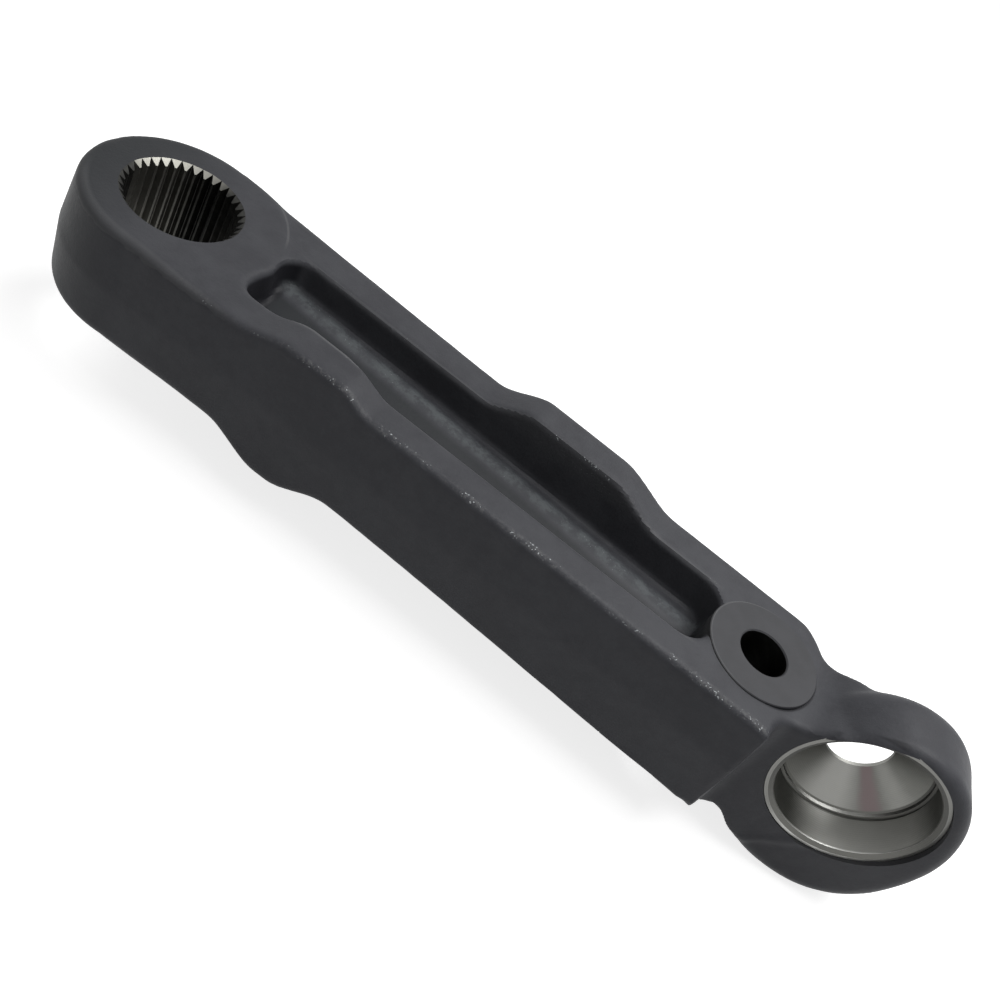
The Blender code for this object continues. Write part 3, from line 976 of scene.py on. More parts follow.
class Value:
    """A number or a vector inside a shader, which takes plain Python arithmetic."""

    def __init__(self, shader: "Shader", socket: bpy.types.NodeSocket) -> None:
        self.shader = shader
        self.socket = socket

    def _math(self, operation: str, *others: "Value | float") -> "Value":
        """Adds a Math node that works on this value and the others."""
        return self.shader.add("ShaderNodeMath", dict(enumerate((self, *others))), operation=operation)

    def __add__(self, other: "Value | float") -> "Value":
        return self._math("ADD", other)

    def __radd__(self, other: "Value | float") -> "Value":
        return self._math("ADD", other)

    def __sub__(self, other: "Value | float") -> "Value":
        return self._math("SUBTRACT", other)

    def __rsub__(self, other: float) -> "Value":
        return self._math("MULTIPLY", -1.0)._math("ADD", other)

    def __mul__(self, other: "Value | float") -> "Value":
        return self._math("MULTIPLY", other)

    def __rmul__(self, other: "Value | float") -> "Value":
        return self._math("MULTIPLY", other)

    def __truediv__(self, other: "Value | float") -> "Value":
        return self._math("DIVIDE", other)

    def __rtruediv__(self, other: float) -> "Value":
        return self._math("POWER", -1.0)._math("MULTIPLY", other)

    def __pow__(self, other: "Value | float") -> "Value":
        return self._math("POWER", other)

    def __neg__(self) -> "Value":
        return self._math("MULTIPLY", -1.0)

    def __abs__(self) -> "Value":
        return self._math("ABSOLUTE")

    def greatest(self, other: "Value | float") -> "Value":
        """Returns the larger of the two at each point."""
        return self._math("MAXIMUM", other)

    def sine(self) -> "Value":
        """Returns the sine of an angle in radians."""
        return self._math("SINE")

    def turn(self, across: "Value") -> "Value":
        """Returns the angle of the point (across, self), in radians from -pi to pi."""
        return self._math("ARCTAN2", across)

    def band(self, middle: "Value | float", inner: float, outer: float) -> "Value":
        """Is 1 within inner of the middle and 0 beyond outer."""
        return 1.0 - abs(self - middle).ramp(inner, outer)

    def ramp(self, start: float, end: float) -> "Value":
        """Goes smoothly from 0 at start to 1 at end."""
        return self.shader.add("ShaderNodeMapRange", {"Value": self, "From Min": start, "From Max": end},
                               interpolation_type="SMOOTHSTEP")

    def part(self, axis: int) -> "Value":
        """Returns one component of a vector."""
        return self.shader.add("ShaderNodeSeparateXYZ", {0: self}, output=axis)


@dataclass
class Shader:
    """The node tree of one material or of the world."""

    tree: bpy.types.NodeTree

    def __post_init__(self) -> None:
        self.tree.nodes.clear()

    def add(self, kind: str, inputs: dict[str | int, object] | None = None, output: str | int = 0,
            **settings: object) -> Value:
        """Adds any node, sets its settings and feeds its inputs.

        Args:
            kind: the node's type.
            inputs: a value, a number or a colour for each input's name or place.
            output: name or place of the output to hand back.
            **settings: the node's own properties.

        Returns:
            The chosen output, or the node's first one.
        """
        node = self.tree.nodes.new(kind)
        for name, setting in settings.items():
            setattr(node, name, setting)
        for key, given in (inputs or {}).items():
            if isinstance(given, Value):
                self.tree.links.new(given.socket, node.inputs[key])
            else:
                node.inputs[key].default_value = given
        return Value(self, node.outputs[output] if len(node.outputs) else None)

    def place(self) -> Value:
        """Returns the point in the object's own metres."""
        return self.add("ShaderNodeTexCoord", output="Object")

    def noise(self, scale: float, detail: float = 2.0, roughness: float = 0.5) -> Value:
        """Returns soft noise about 0.5; scale is in grains to a metre."""
        return self.add("ShaderNodeTexNoise", {"Vector": self.place(), "Scale": scale, "Detail": detail,
                                               "Roughness": roughness})

    def tint(self, share: Value, low: Colour, high: Colour) -> Value:
        """Mixes from the colour low to the colour high by share."""
        return self.add("ShaderNodeMix", {"Factor": share, 6: (*low, 1.0), 7: (*high, 1.0)}, output=2,
                        data_type="RGBA")

    def over(self, base: Value, share: Value, colour: Colour) -> Value:
        """Lays a colour over another one by share."""
        return self.add("ShaderNodeMix", {"Factor": share, 6: base, 7: (*colour, 1.0)}, output=2,
                        data_type="RGBA")

    def bump(self, height: Value, distance: float, strength: float) -> Value:
        """Turns a height, in shares of distance, into a bumped normal."""
        return self.add("ShaderNodeBump", {"Height": height, "Distance": distance, "Strength": strength})


@dataclass(frozen=True)
class Sector:
    """A pie-shaped stretch round an axis, in degrees: full within inner of the middle, gone beyond outer."""

    middle: float
    inner: float
    outer: float
    share: float = 1.0

    def at(self, turn: Value) -> Value:
        """Returns the sector's share at a turn in radians."""
        return turn.band(*np.radians((self.middle, self.inner, self.outer)).tolist()) * self.share


@dataclass
class WearAndLightMap:
    """Where the paint is worn or dust-coloured, and where painted shade and painted highlights go, as shares
    from 0 to 1 read from a point's place on the arm.

    A span holds where a share starts to rise and where it is full. A band holds the half-widths within
    which a share is full and beyond which it is gone. Depths are measured down from the face or its crest.
    """

    shader: Shader
    forging: Forging
    origin: Array
    face_span: Span = (0.0215, 0.0250)
    floor_span: Span = (0.0150, 0.0180)
    edge_inset: float = 0.0022
    edge_band: Span = (0.0006, 0.0022)
    edge_depths: Span = (0.0024, 0.0010)
    edge_span: Span = (0.020, 0.045)
    edge_taper_start: float = 0.048
    wall_inset: float = 0.0020
    wall_band: Span = (0.0025, 0.0060)
    wall_top_span: Span = (0.0240, 0.0265)
    wall_side_fade: float = 0.0030
    ripple_height: float = 0.0036
    hub_edge_depths: Span = (0.0038, 0.0030)
    hub_edge_reach: Span = (0.0400, 0.0425)
    hub_near_span: Span = (0.0100, 0.0300)
    hub_end_span: Span = (0.045, 0.070)
    hub_back_span: Span = (-0.0160, 0.0420)
    step_band: Span = (0.0002, 0.0009)
    step_turn_band: Span = (0.20, 0.42)
    hump_middle: float = 0.2060
    hump_band: Span = (0.0180, 0.0240)
    hump_depths: Span = (0.0030, 0.0016)
    pad_offset: float = 0.0002
    pad_rim_band: Span = (0.0004, 0.0007)
    pad_rim_turns: Span = (math.radians(80.0), math.radians(120.0))
    pad_foot_band: Span = (0.0003, 0.0010)
    pad_foot_sector: Sector = Sector(-25.0, 20.0, 70.0)
    mouth_line: float = 0.0394
    mouth_band: Span = (0.0006, 0.0014)
    mouth_sector: Sector = Sector(116.0, 14.0, 30.0)
    mouth_depth_band: Span = (0.0030, 0.0045)
    # A painted glint: a small pale spot on the mouth's painted edge.
    glint_line: float = 0.0408
    glint_band: Span = (0.0002, 0.0008)
    glint_sector: Sector = Sector(105.0, 1.0, 5.0)
    rim_out: float = 0.0010
    rim_band: Span = (0.0004, 0.0013)
    rim_hub_fade: float = 0.012
    rim_link_fade: float = 0.014
    far_rim_share: float = 0.4
    ridge_band: Span = (0.0016, 0.0052)
    strip_span: Span = (0.0034, 0.0078)
    strip_edge_span: Span = (-0.0240, -0.0200)
    floor_end_fade: float = 0.004

    def __post_init__(self) -> None:
        point = self.shader.place()
        self.x, self.y, self.z = (point.part(i) - float(self.origin[i]) for i in range(3))
        self.on_face = abs(self.z).ramp(*self.face_span)
        self.on_floor = 1.0 - abs(self.z).ramp(*self.floor_span)

    def outer_edge(self) -> Value:
        """Returns 1 along the near flange's upper outer edge, which follows the flange's swelling."""
        beam = self.forging.beam
        run = beam.near_width.values[-1] - self.edge_inset
        hub_run = beam.near_width.values[2]
        line = (1.0 - self.x.ramp(self.edge_taper_start, beam.slope_start)) * (hub_run - run) + run
        start, crest, crest_end, end = beam.near_top_rise
        swelling = (self.x.ramp(start, crest) - self.x.ramp(crest_end, end)) * beam.near_top_height
        level = (self.z - swelling).ramp(*(beam.top - depth for depth in self.edge_depths))
        return self.y.band(-line, *self.edge_band) * level * self.x.ramp(*self.edge_span)

    def hub_wall(self) -> Value:
        """Returns 1 on the pockets' end walls at the hub."""
        pocket = self.forging.pocket
        inside = self.y.band(0.0, pocket.far_hub, pocket.far_hub + self.wall_side_fade)
        below = 1.0 - abs(self.z).ramp(*self.wall_top_span)
        return self.x.band(pocket.start + self.wall_inset, *self.wall_band) * below * inside

    def hub_edge(self, ripple: Value) -> Value:
        """Returns 1 on the hub's near upper edge, down to a line that waves with the ripple."""
        top = self.forging.beam.top
        reach = ((-self.x).greatest(0.0) ** 2.0 + self.y ** 2.0) ** 0.5
        level = self.z + self.ripple_height * (ripple - 0.5)
        level = level.ramp(*(top - depth for depth in self.hub_edge_depths))
        near = (-self.y).ramp(*self.hub_near_span) * (1.0 - self.x.ramp(*self.hub_end_span))
        return level * reach.ramp(*self.hub_edge_reach) * near

    def hub_back(self) -> Value:
        """Returns 1 at the arm's end behind the serrated bore."""
        return (-self.x).ramp(*self.hub_back_span)

    def hub_step(self) -> Value:
        """Returns 1 on the step at the edge of the hub's raised face, on the far side."""
        hub = self.forging.hub
        line = ((self.x ** 2.0 + self.y ** 2.0) ** 0.5).band(hub.raised_radius, *self.step_band)
        return line * self.y.turn(self.x).band(hub.step_turn, *self.step_turn_band) * self.on_face

    def hump_rim(self) -> Value:
        """Returns 1 along the pocket's far rim where the far flange rises."""
        beam = self.forging.beam
        crest = beam.top + beam.far_height
        level = self.z.ramp(*(crest - depth for depth in self.hump_depths))
        return self.far_rim() * self.x.band(self.hump_middle, *self.hump_band) * level

    def round_pad(self, offset: float, band: Span) -> tuple[Value, Value]:
        """Finds the link pad's edge.

        Args:
            offset: how far beyond the pad's radius the ring lies.
            band: the ring's half-widths, full and gone.

        Returns:
            1 on the ring, and the turn about the pad's middle.
        """
        boss = self.forging.boss
        along = self.x - boss.centre
        ring = ((along ** 2.0 + self.y ** 2.0) ** 0.5).band(boss.radius + offset, *band)
        return ring * self.on_face, self.y.turn(along)

    def pad_rim(self) -> Value:
        """Returns 1 on the link pad's edge, on the side away from the socket."""
        edge, turn = self.round_pad(-self.pad_offset, self.pad_rim_band)
        return edge * abs(turn).ramp(*self.pad_rim_turns)

    def pad_foot(self) -> Value:
        """Returns 1 in the corner at the foot of the link pad, on the side towards the socket."""
        corner, turn = self.round_pad(self.pad_offset, self.pad_foot_band)
        return corner * self.pad_foot_sector.at(turn)

    def mouth_edge(self) -> tuple[Value, Value]:
        """Returns 1 on the edge above the socket's mouth, which takes a dark line of painted shade, and 1 on
        the painted glint in it.
        """
        ring = self.forging.ring
        middle = ring.centre(self.forging.boss.centre)
        offsets = [place - float(m) for place, m in zip((self.x, self.y, self.z), middle)]
        across, up, out = (sum(o * float(part) for o, part in zip(offsets, d)) for d in ring.directions())
        radius = (across ** 2.0 + up ** 2.0) ** 0.5
        turn = up.turn(across)
        front = out.band(0.0, *self.mouth_depth_band)
        line = radius.band(self.mouth_line, *self.mouth_band) * self.mouth_sector.at(turn)
        glint = radius.band(self.glint_line, *self.glint_band) * self.glint_sector.at(turn)
        return line * front, glint * front

    def along_pocket(self, hub: float, link: float) -> Value:
        """Returns a place across the arm that moves evenly from hub to link along the pockets."""
        pocket = self.forging.pocket
        return (self.x - pocket.start) * ((link - hub) / (pocket.end - pocket.start)) + hub

    def within(self, hub_fade: float, link_fade: float) -> Value:
        """Returns 1 along the pockets' length, faded in and out over the given lengths."""
        start, end = self.forging.pocket.start, self.forging.pocket.end
        return self.x.ramp(start, start + hub_fade) * (1.0 - self.x.ramp(end - link_fade, end))

    def far_rim(self) -> Value:
        """Returns 1 along the line of the pockets' far rims."""
        pocket = self.forging.pocket
        return self.y.band(self.along_pocket(pocket.far_hub, pocket.far_link) + self.rim_out, *self.rim_band)

    def inner_rims(self) -> Value:
        """Returns 1 along the rounded rims of both pockets."""
        near = self.y.band(self.forging.pocket.near - self.rim_out, *self.rim_band)
        rims = near.greatest(self.far_rim() * self.far_rim_share)
        return rims * self.on_face * self.within(self.rim_hub_fade, self.rim_link_fade)

    def ridge_line(self) -> Value:
        """Returns where the floors' ridge runs across the arm."""
        return self.along_pocket(self.forging.pocket.ridge_hub, self.forging.pocket.ridge_link)

    def on_pocket_floor(self) -> Value:
        """Returns 1 on the pockets' floors."""
        return self.on_floor * self.within(self.floor_end_fade, self.floor_end_fade)

    def ridge(self) -> Value:
        """Returns 1 on the low ridge of each pocket's floor."""
        return self.y.band(self.ridge_line(), *self.ridge_band) * self.on_pocket_floor()

    def near_strip(self) -> Value:
        """Returns 1 on the floor between the ridge and the near wall."""
        beyond = (self.ridge_line() - self.y).ramp(*self.strip_span)
        return beyond * self.y.ramp(*self.strip_edge_span) * self.on_pocket_floor()


@dataclass(frozen=True)
class Paint:
    """Dark charcoal paint over forged or machined steel, with painted shade and painted highlights laid on in
    places. Noise sizes are in grains to a metre.
    """

    name: str
    low: Colour
    high: Colour
    roughness: float
    grain_depth: float
    forging: Forging
    origin: Array
    # Pale grey for the near flange's worn outer edge, and for painted highlights on rims and edges.
    rubbed_and_highlit: Colour = (0.078, 0.079, 0.082)
    # Paler grey for the floors' ridge: partly dust, partly a painted highlight along its crest.
    dusty_and_highlit: Colour = (0.070, 0.076, 0.080)
    shaded: Colour = (0.019, 0.0205, 0.0225)
    # Near black for painted shade in recesses and corners.
    deep_shade: Colour = (0.008, 0.008, 0.010)
    bare: Colour = (0.34, 0.36, 0.37)
    blotch_size: float = 38.0
    cloud_size: float = 140.0
    grain_size: float = 620.0
    pore_size: float = 1900.0
    cluster_size: float = 72.0
    spark_size: float = 1000.0
    fleck_size: float = 1500.0
    ior: float = 1.36
    specular: float = 0.25
    bump_strength: float = 0.8

    def shaded_paint(self, shader: Shader, wear_and_light: WearAndLightMap, cloud: Value, colour: Value) -> Value:
        """Lays painted shade in the dark places and painted highlights as pale lines over the paint, each at
        its own share.

        Args:
            shader: the material's node tree.
            wear_and_light: the masks.
            cloud: the noise that waves the hub's pale edge.
            colour: the plain paint.

        Returns:
            The paint with its painted shade and its painted highlight lines.
        """
        # Painted shade: darker on the floor's near strip and at the arm's end behind the bore.
        colour = shader.over(colour, wear_and_light.near_strip(), self.shaded)
        colour = shader.over(colour, wear_and_light.hub_back() * 0.95, self.shaded)
        # Painted highlights: pale lines along the hub's near upper edge, the step of its raised face and the
        # link pad's rim.
        pale = (wear_and_light.hub_edge(cloud) * 0.42).greatest(wear_and_light.hub_step() * 0.6).greatest(wear_and_light.pad_rim() * 0.9)
        colour = shader.over(colour, pale, self.rubbed_and_highlit)
        mouth, _ = wear_and_light.mouth_edge()
        # Painted shade: near black on the pockets' end walls at the hub, in the corner at the link pad's foot
        # and along the line above the socket's mouth.
        dark = (wear_and_light.hub_wall() * 0.9).greatest(wear_and_light.pad_foot() * 0.8).greatest(mouth * 0.7)
        return shader.over(colour, dark, self.deep_shade)

    def worn_and_highlit_paint(self, shader: Shader, wear_and_light: WearAndLightMap, grain: Value, ridge: Value, colour: Value) -> Value:
        """Lays the worn edges, the painted highlights on the pockets' rims, the bare spots and the painted
        glint over the paint.

        Args:
            shader: the material's node tree.
            wear_and_light: the masks.
            grain: the noise that breaks up the rubbed edges.
            ridge: the mask of the floors' ridge.
            colour: the paint so far.

        Returns:
            The finished colour.
        """
        edge, rims = wear_and_light.outer_edge(), wear_and_light.inner_rims()
        clusters = shader.noise(self.cluster_size, 1.0).ramp(0.47, 0.58)
        # The pockets' rims take a painted highlight; the near flange's outer edge is worn pale in grainy
        # patches.
        rubbed_and_highlit = (rims * 0.75).greatest(edge * grain.ramp(0.46, 0.60) * (0.25 + 0.45 * clusters))
        colour = shader.over(colour, rubbed_and_highlit, self.rubbed_and_highlit)
        sparks = shader.noise(self.spark_size, 0.5).ramp(0.675, 0.72) * clusters
        flecks = shader.noise(self.fleck_size, 0.5).ramp(0.72, 0.78) * clusters
        # Bare spots on edges and rims, and a painted glint on the mouth's edge.
        _, glint = wear_and_light.mouth_edge()
        specks_and_glint = (edge.greatest(wear_and_light.hump_rim()) * sparks).greatest(glint)
        specks_and_glint = specks_and_glint.greatest(flecks * (0.4 * ridge).greatest(0.8 * rims))
        return shader.over(colour, specks_and_glint, self.bare)

    def make(self) -> bpy.types.Material:
        """Returns the material: uneven colour and gloss, grain, painted shade, worn edges, painted
        highlights, a paler ridge, bare spots and a painted glint.
        """
        material = bpy.data.materials.new(self.name)
        material.use_nodes = True
        shader = Shader(material.node_tree)
        wear_and_light = WearAndLightMap(shader, self.forging, self.origin)
        blotch = shader.noise(self.blotch_size, 3.0)
        cloud = shader.noise(self.cloud_size, 2.0)
        grain = shader.noise(self.grain_size, 3.0, 0.6)
        pores = shader.noise(self.pore_size, 2.0, 0.6)
        ridge = wear_and_light.ridge()
        colour = shader.tint((0.5 * blotch + 0.3 * cloud + 0.2 * grain).ramp(0.36, 0.64), self.low, self.high)
        colour = self.shaded_paint(shader, wear_and_light, cloud, colour)
        # The ridge is paler: partly dust, partly a painted highlight along its crest.
        dust_and_highlight = ridge * (0.30 + 0.70 * (0.6 * cloud + 0.4 * grain).ramp(0.42, 0.60))
        colour = shader.over(colour, dust_and_highlight, self.dusty_and_highlit)
        colour = self.worn_and_highlit_paint(shader, wear_and_light, grain, ridge, colour)
        height = 0.30 * cloud + 0.45 * grain * (1.0 + 0.8 * ridge) + 0.25 * pores
        surface = shader.add("ShaderNodeBsdfPrincipled", {
            "Base Color": colour,
            "Metallic": 0.0,
            "IOR": self.ior,
            "Specular IOR Level": self.specular,
            "Roughness": self.roughness + 0.14 * (grain - 0.5) + 0.10 * (blotch - 0.5) + 0.12 * ridge,
            "Normal": shader.bump(height, self.grain_depth, self.bump_strength),
        })
        shader.add("ShaderNodeOutputMaterial", {"Surface": surface})
        return material


@dataclass(frozen=True)
class Spindle:
    """The axis that faces were turned about: a point on it, and three directions, the last along it."""

    centre: Array
    directions: tuple[Array, Array, Array]

    def reach(self, place: Value) -> list[Value]:
        """Returns how far a place lies sideways, upward and outward of the axis's point."""
        offsets = [place.part(i) - float(self.centre[i]) for i in range(3)]
        return [sum(o * float(part) for o, part in zip(offsets, d)) for d in self.directions]


@dataclass(frozen=True)
class Steel:
    """Bare machined steel with turning lines round a spindle, made lighter and darker in pie-shaped stretches
    round it as painted highlights and painted shade, and where given with a painted reflection.

    line_density is in radians of the lines' wave to a metre.
    """

    name: str
    dull: Colour
    bright: Colour
    roughness: float
    spindle: Spindle
    line_density: float
    line_depth: float
    painted_sheen_sectors: tuple[Sector, ...]
    painted_reflection_streak: Sector | None = None
    reflection_streak_colour: Colour = (0.150, 0.118, 0.120)
    waver_size: float = 90.0
    pore_size: float = 2600.0
    smudge_size: float = 260.0
    bump_strength: float = 0.7

    def make(self) -> bpy.types.Material:
        """Returns the material, whose lines are the sine of depth plus radius and so ring every face."""
        material = bpy.data.materials.new(self.name)
        material.use_nodes = True
        shader = Shader(material.node_tree)
        sideways, upward, outward = self.spindle.reach(shader.place())
        radius = (sideways ** 2.0 + upward ** 2.0) ** 0.5
        turn = upward.turn(sideways)
        phase = (outward + radius) * self.line_density + 4.0 * shader.noise(self.waver_size, 1.0)
        lines = phase.sine() * 0.5 + 0.5
        pores = shader.noise(self.pore_size, 2.0)
        smudge = shader.noise(self.smudge_size, 3.0, 0.6)
        # Painted highlights in the given stretches round the axis, painted shade between them.
        share = self.painted_sheen_sectors[0].at(turn)
        for sector in self.painted_sheen_sectors[1:]:
            share = share.greatest(sector.at(turn))
        share = share + 0.16 * (smudge - 0.5) + 0.10 * (lines - 0.5)
        colour = shader.tint(share, self.dull, self.bright)
        # A painted reflection: a pink-brown stripe down the cone.
        if self.painted_reflection_streak:
            colour = shader.over(colour, self.painted_reflection_streak.at(turn + 0.10 * (smudge - 0.5)), self.reflection_streak_colour)
        surface = shader.add("ShaderNodeBsdfPrincipled", {
            "Base Color": colour,
            "Metallic": 1.0,
            "Roughness": self.roughness + 0.10 * (pores - 0.5),
            "Normal": shader.bump(lines * 0.7 + pores * 0.3, self.line_depth, self.bump_strength),
        })
        shader.add("ShaderNodeOutputMaterial", {"Surface": surface})
        return material


@dataclass(frozen=True)
class Palette:
    """All the arm's finishes as materials."""

    forging: Forging
    origin: Array

    def paint(self, name: str, low: Colour, high: Colour, roughness: float, grain_depth: float) -> Paint:
        """Returns a paint for this arm."""
        return Paint(name, low, high, roughness, grain_depth, self.forging, self.origin)

    def looks(self) -> dict[Finish, Paint | Steel]:
        """Returns the paint or the steel of each finish."""
        ring = self.forging.ring
        bore = Spindle(self.origin, tuple(np.eye(3)))
        socket = Spindle(ring.centre(self.forging.boss.centre) + self.origin, ring.directions())
        return {
            Finish.FORGED_PAINT: self.paint(
                "charcoal_forged", (0.032, 0.0325, 0.037), (0.042, 0.0430, 0.048), 0.50, 0.00026),
            Finish.MACHINED_PAINT: self.paint(
                "charcoal_machined", (0.033, 0.0335, 0.036), (0.040, 0.0405, 0.044), 0.46, 0.00010),
            # Each steel's pie-shaped stretches are painted highlights round its axis, darker between them as
            # painted shade.
            Finish.SERRATION: Steel(
                "serration_steel", (0.028, 0.028, 0.026), (0.140, 0.137, 0.124), 0.45,
                bore, 900.0, 0.00003, (Sector(152.0, 16.0, 54.0),)),
            Finish.TOOTH_CHAMFER: Steel(
                "tooth_chamfer_steel", (0.040, 0.040, 0.038), (0.26, 0.255, 0.23), 0.50,
                bore, 900.0, 0.00003, (Sector(138.0, 32.0, 68.0),)),
            Finish.BARE_EDGE: Steel(
                "bare_edge_steel", (0.20, 0.20, 0.19), (0.52, 0.52, 0.50), 0.40,
                socket, 2600.0, 0.00002, (Sector(-78.0, 15.0, 80.0),)),
            Finish.GROOVE_STEEL: Steel(
                "groove_steel", (0.060, 0.060, 0.056), (0.13, 0.13, 0.12), 0.42,
                socket, 5200.0, 0.00002, (Sector(-78.0, 20.0, 90.0),)),
            Finish.BORE_STEEL: Steel(
                "bore_steel", (0.070, 0.071, 0.064), (0.35, 0.35, 0.33), 0.60,
                socket, 5200.0, 0.00003, (Sector(-47.0, 27.0, 70.0),)),
            Finish.CONE_STEEL: Steel(
                "cone_steel", (0.125, 0.126, 0.117), (0.285, 0.285, 0.27), 0.36,
                socket, 5200.0, 0.00003, (Sector(-82.0, 6.0, 40.0), Sector(-20.0, 2.0, 20.0, 0.32)),
                Sector(-44.0, 3.0, 14.0, 0.85)),
            Finish.LIP_STEEL: Steel(
                "lip_steel", (0.150, 0.150, 0.142), (0.44, 0.44, 0.42), 0.42,
                socket, 5200.0, 0.00002, (Sector(-76.0, 16.0, 62.0),)),
        }

    def materials(self) -> list[bpy.types.Material]:
        """Returns one material for each finish, in the finishes' own order."""
        looks = self.looks()
        return [looks[finish].make() for finish in Finish]


@dataclass(frozen=True)
class Softbox:
    """A square or oblong studio lamp that looks at a point of the arm."""

    name: str
    place: Point
    target: Point
    width: float
    height: float
    power: float

    def hang(self) -> None:
        """Adds the lamp to the scene."""
        light = bpy.data.lights.new(self.name, "AREA")
        light.shape = "RECTANGLE"
        light.size = self.width
        light.size_y = self.height
        light.energy = self.power
        lamp = bpy.data.objects.new(self.name, light)
        bpy.context.scene.collection.objects.link(lamp)
        back = np.array(self.place) - np.array(self.target)
        back = back / np.linalg.norm(back)
        side = np.cross([0.0, 0.0, 1.0], back)
        side = side / max(float(np.linalg.norm(side)), 1e-6)
        rise = np.cross(back, side)
        rows = [[side[i], rise[i], back[i], self.place[i]] for i in range(3)]
        lamp.matrix_world = Matrix(rows + [[0.0, 0.0, 0.0, 1.0]])


@dataclass(frozen=True)
class Studio:
    """The white studio: the floor, the world and the lamps."""

    floor_size: float = 30.0
    paper: float = 0.50
    glow: float = 0.79
    world_strength: float = 0.30
    horizon: float = 0.22
    zenith_gain: float = 1.08
    lamps: tuple[Softbox, ...] = (
        Softbox("key", (0.40, 0.48, 1.25), (0.05, 0.0, 0.06), 0.9, 0.7, 13.5),
        Softbox("overhead", (0.36, 0.0, 1.25), (0.05, 0.0, 0.06), 1.0, 0.6, 8.5),
    )

    def grey(self, level: float) -> tuple[float, float, float, float]:
        """Returns a grey with full cover."""
        return level, level, level, 1.0

    def seen_by(self, shader: Shader, *rays: str) -> Value:
        """Returns 1 for the named kinds of ray, such as the camera's own, and 0 for the others."""
        share = shader.add("ShaderNodeLightPath", output=rays[0])
        for ray in rays[1:]:
            share = share.greatest(shader.add("ShaderNodeLightPath", output=ray))
        return share

    def lay_floor(self) -> None:
        """Adds the pale floor, seen as white with the arm's shadow on it."""
        bpy.ops.mesh.primitive_plane_add(size=self.floor_size, location=(0.0, 0.0, 0.0))
        floor = bpy.context.object
        floor.name = "studio_floor"
        material = bpy.data.materials.new("pale_floor")
        material.use_nodes = True
        shader = Shader(material.node_tree)
        seen = self.seen_by(shader, "Is Camera Ray", "Is Glossy Ray", "Is Transmission Ray")
        paper = shader.add("ShaderNodeBsdfDiffuse", {"Color": self.grey(self.paper)})
        glow = shader.add("ShaderNodeEmission", {"Color": self.grey(1.0), "Strength": self.glow})
        lit = shader.add("ShaderNodeAddShader", {0: paper, 1: glow})
        surface = shader.add("ShaderNodeMixShader", {0: seen, 1: paper, 2: lit})
        shader.add("ShaderNodeOutputMaterial", {"Surface": surface})
        floor.data.materials.append(material)

    def paint_world(self) -> None:
        """Makes the world white where it is seen or mirrored, and as a light a dome, brighter overhead."""
        world = bpy.data.worlds.new("studio_world")
        bpy.context.scene.world = world
        world.use_nodes = True
        shader = Shader(world.node_tree)
        seen = self.seen_by(shader, "Is Camera Ray", "Is Transmission Ray", "Is Glossy Ray")
        rise = shader.add("ShaderNodeTexCoord", output="Generated").part(2)
        strength = self.world_strength * (self.horizon + self.zenith_gain * rise.ramp(0.0, 1.0))
        dome = shader.add("ShaderNodeBackground", {"Color": self.grey(1.0), "Strength": strength})
        white = shader.add("ShaderNodeBackground", {"Color": self.grey(1.0), "Strength": 1.0})
        surface = shader.add("ShaderNodeMixShader", {0: seen, 1: dome, 2: white})
        shader.add("ShaderNodeOutputWorld", {"Surface": surface})

    def light(self) -> None:
        """Hangs the lamps: a broad key high behind the socket's end, and a second one straight above it."""
        for lamp in self.lamps:
            lamp.hang()


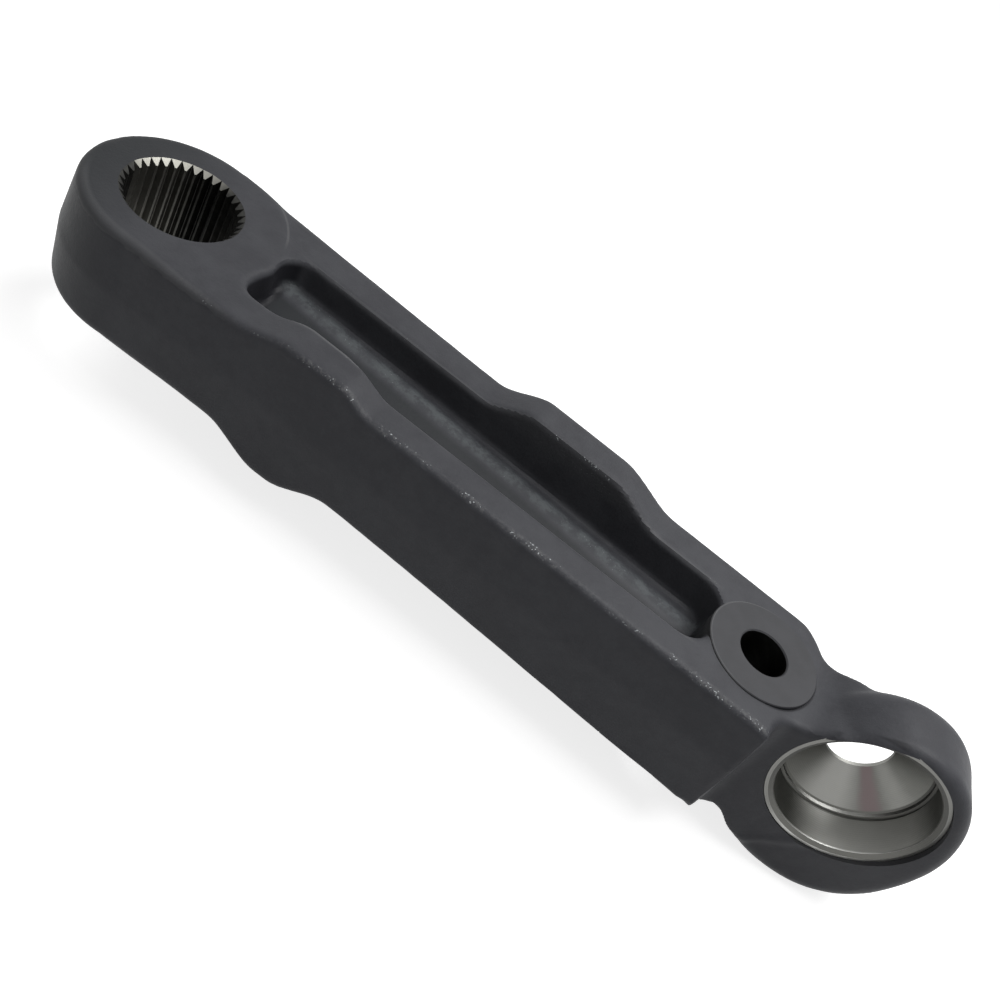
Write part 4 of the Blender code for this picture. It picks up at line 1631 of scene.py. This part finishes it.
@dataclass(frozen=True)
class PhotoCamera:
    """The camera that the photograph was fitted to."""

    place: Point = (0.02656641, -0.42162479, 0.42126553)
    right: Point = (0.78528, 0.43175, 0.44376)
    down: Point = (0.61647, -0.47874, -0.62512)
    forward: Point = (-0.05745, 0.76446, -0.64210)
    lens: float = 44.2405
    sensor: float = 36.0
    nearest: float = 0.01

    def set_up(self) -> None:
        """Adds the camera and makes it the scene's own."""
        data = bpy.data.cameras.new("photo_camera")
        data.sensor_width = self.sensor
        data.lens = self.lens
        data.clip_start = self.nearest
        camera = bpy.data.objects.new("photo_camera", data)
        bpy.context.scene.collection.objects.link(camera)
        rows = [[self.right[i], -self.down[i], -self.forward[i], self.place[i]] for i in range(3)]
        camera.matrix_world = Matrix(rows + [[0.0, 0.0, 0.0, 1.0]])
        bpy.context.scene.camera = camera


@dataclass
class ControlArm:
    """The dressed arm."""

    forging: Forging = field(default_factory=Forging)
    sharp_angle: float = math.radians(24.0)

    def origin(self) -> Array:
        """Returns where the arm's origin lies in the world, from the CAD node's box and the ring's size."""
        low, high = (np.array(corner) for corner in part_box(NODE))
        grid_low = -self.forging.hub.middle_radius
        ring = self.forging.ring
        lowest = ring.centre(self.forging.boss.centre)[2] - ring.shift_down
        u, v = math.sin(ring.lean), math.cos(ring.lean)
        reach = math.hypot(ring.half_width * u, ring.half_height * v)
        return np.array([low[0] - grid_low, (low[1] + high[1]) / 2, low[2] - (lowest - reach)])

    def build(self) -> bpy.types.Object:
        """Builds the arm and fastens it to its body.

        Returns:
            The arm's object.
        """
        origin = self.origin()
        log.info("arm's origin: %s", origin)
        grid, values = self.forging.sampled()
        log.info("grid: %s points", values.shape)
        points, quads = SurfaceNet(grid, values).skin()
        log.info("skin: %d vertices, %d quads", len(points), len(quads))
        maker = MeshBuilder(origin, Palette(self.forging, origin).materials())
        arm = maker.build("forged_arm", points, [quads])
        Machining(maker, self.forging).machine(arm)
        self.smooth(arm)
        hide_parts(NODE)
        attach(arm, BODY)
        return arm

    def smooth(self, arm: bpy.types.Object) -> None:
        """Shades the arm smooth, and sharp where two faces meet at more than the sharp angle."""
        arm.data.polygons.foreach_set("use_smooth", np.ones(len(arm.data.polygons), dtype=bool))
        arm.data.set_sharp_from_angle(angle=self.sharp_angle)


def main() -> None:
    """Builds the studio and the arm, and hands both over."""
    logging.basicConfig(level=logging.INFO, format="%(name)s: %(message)s")
    bpy.context.scene.view_settings.view_transform = "Standard"
    studio = Studio()
    studio.lay_floor()
    studio.paint_world()
    studio.light()
    PhotoCamera().set_up()
    ControlArm().build()


if __name__ == "__main__":
    main()
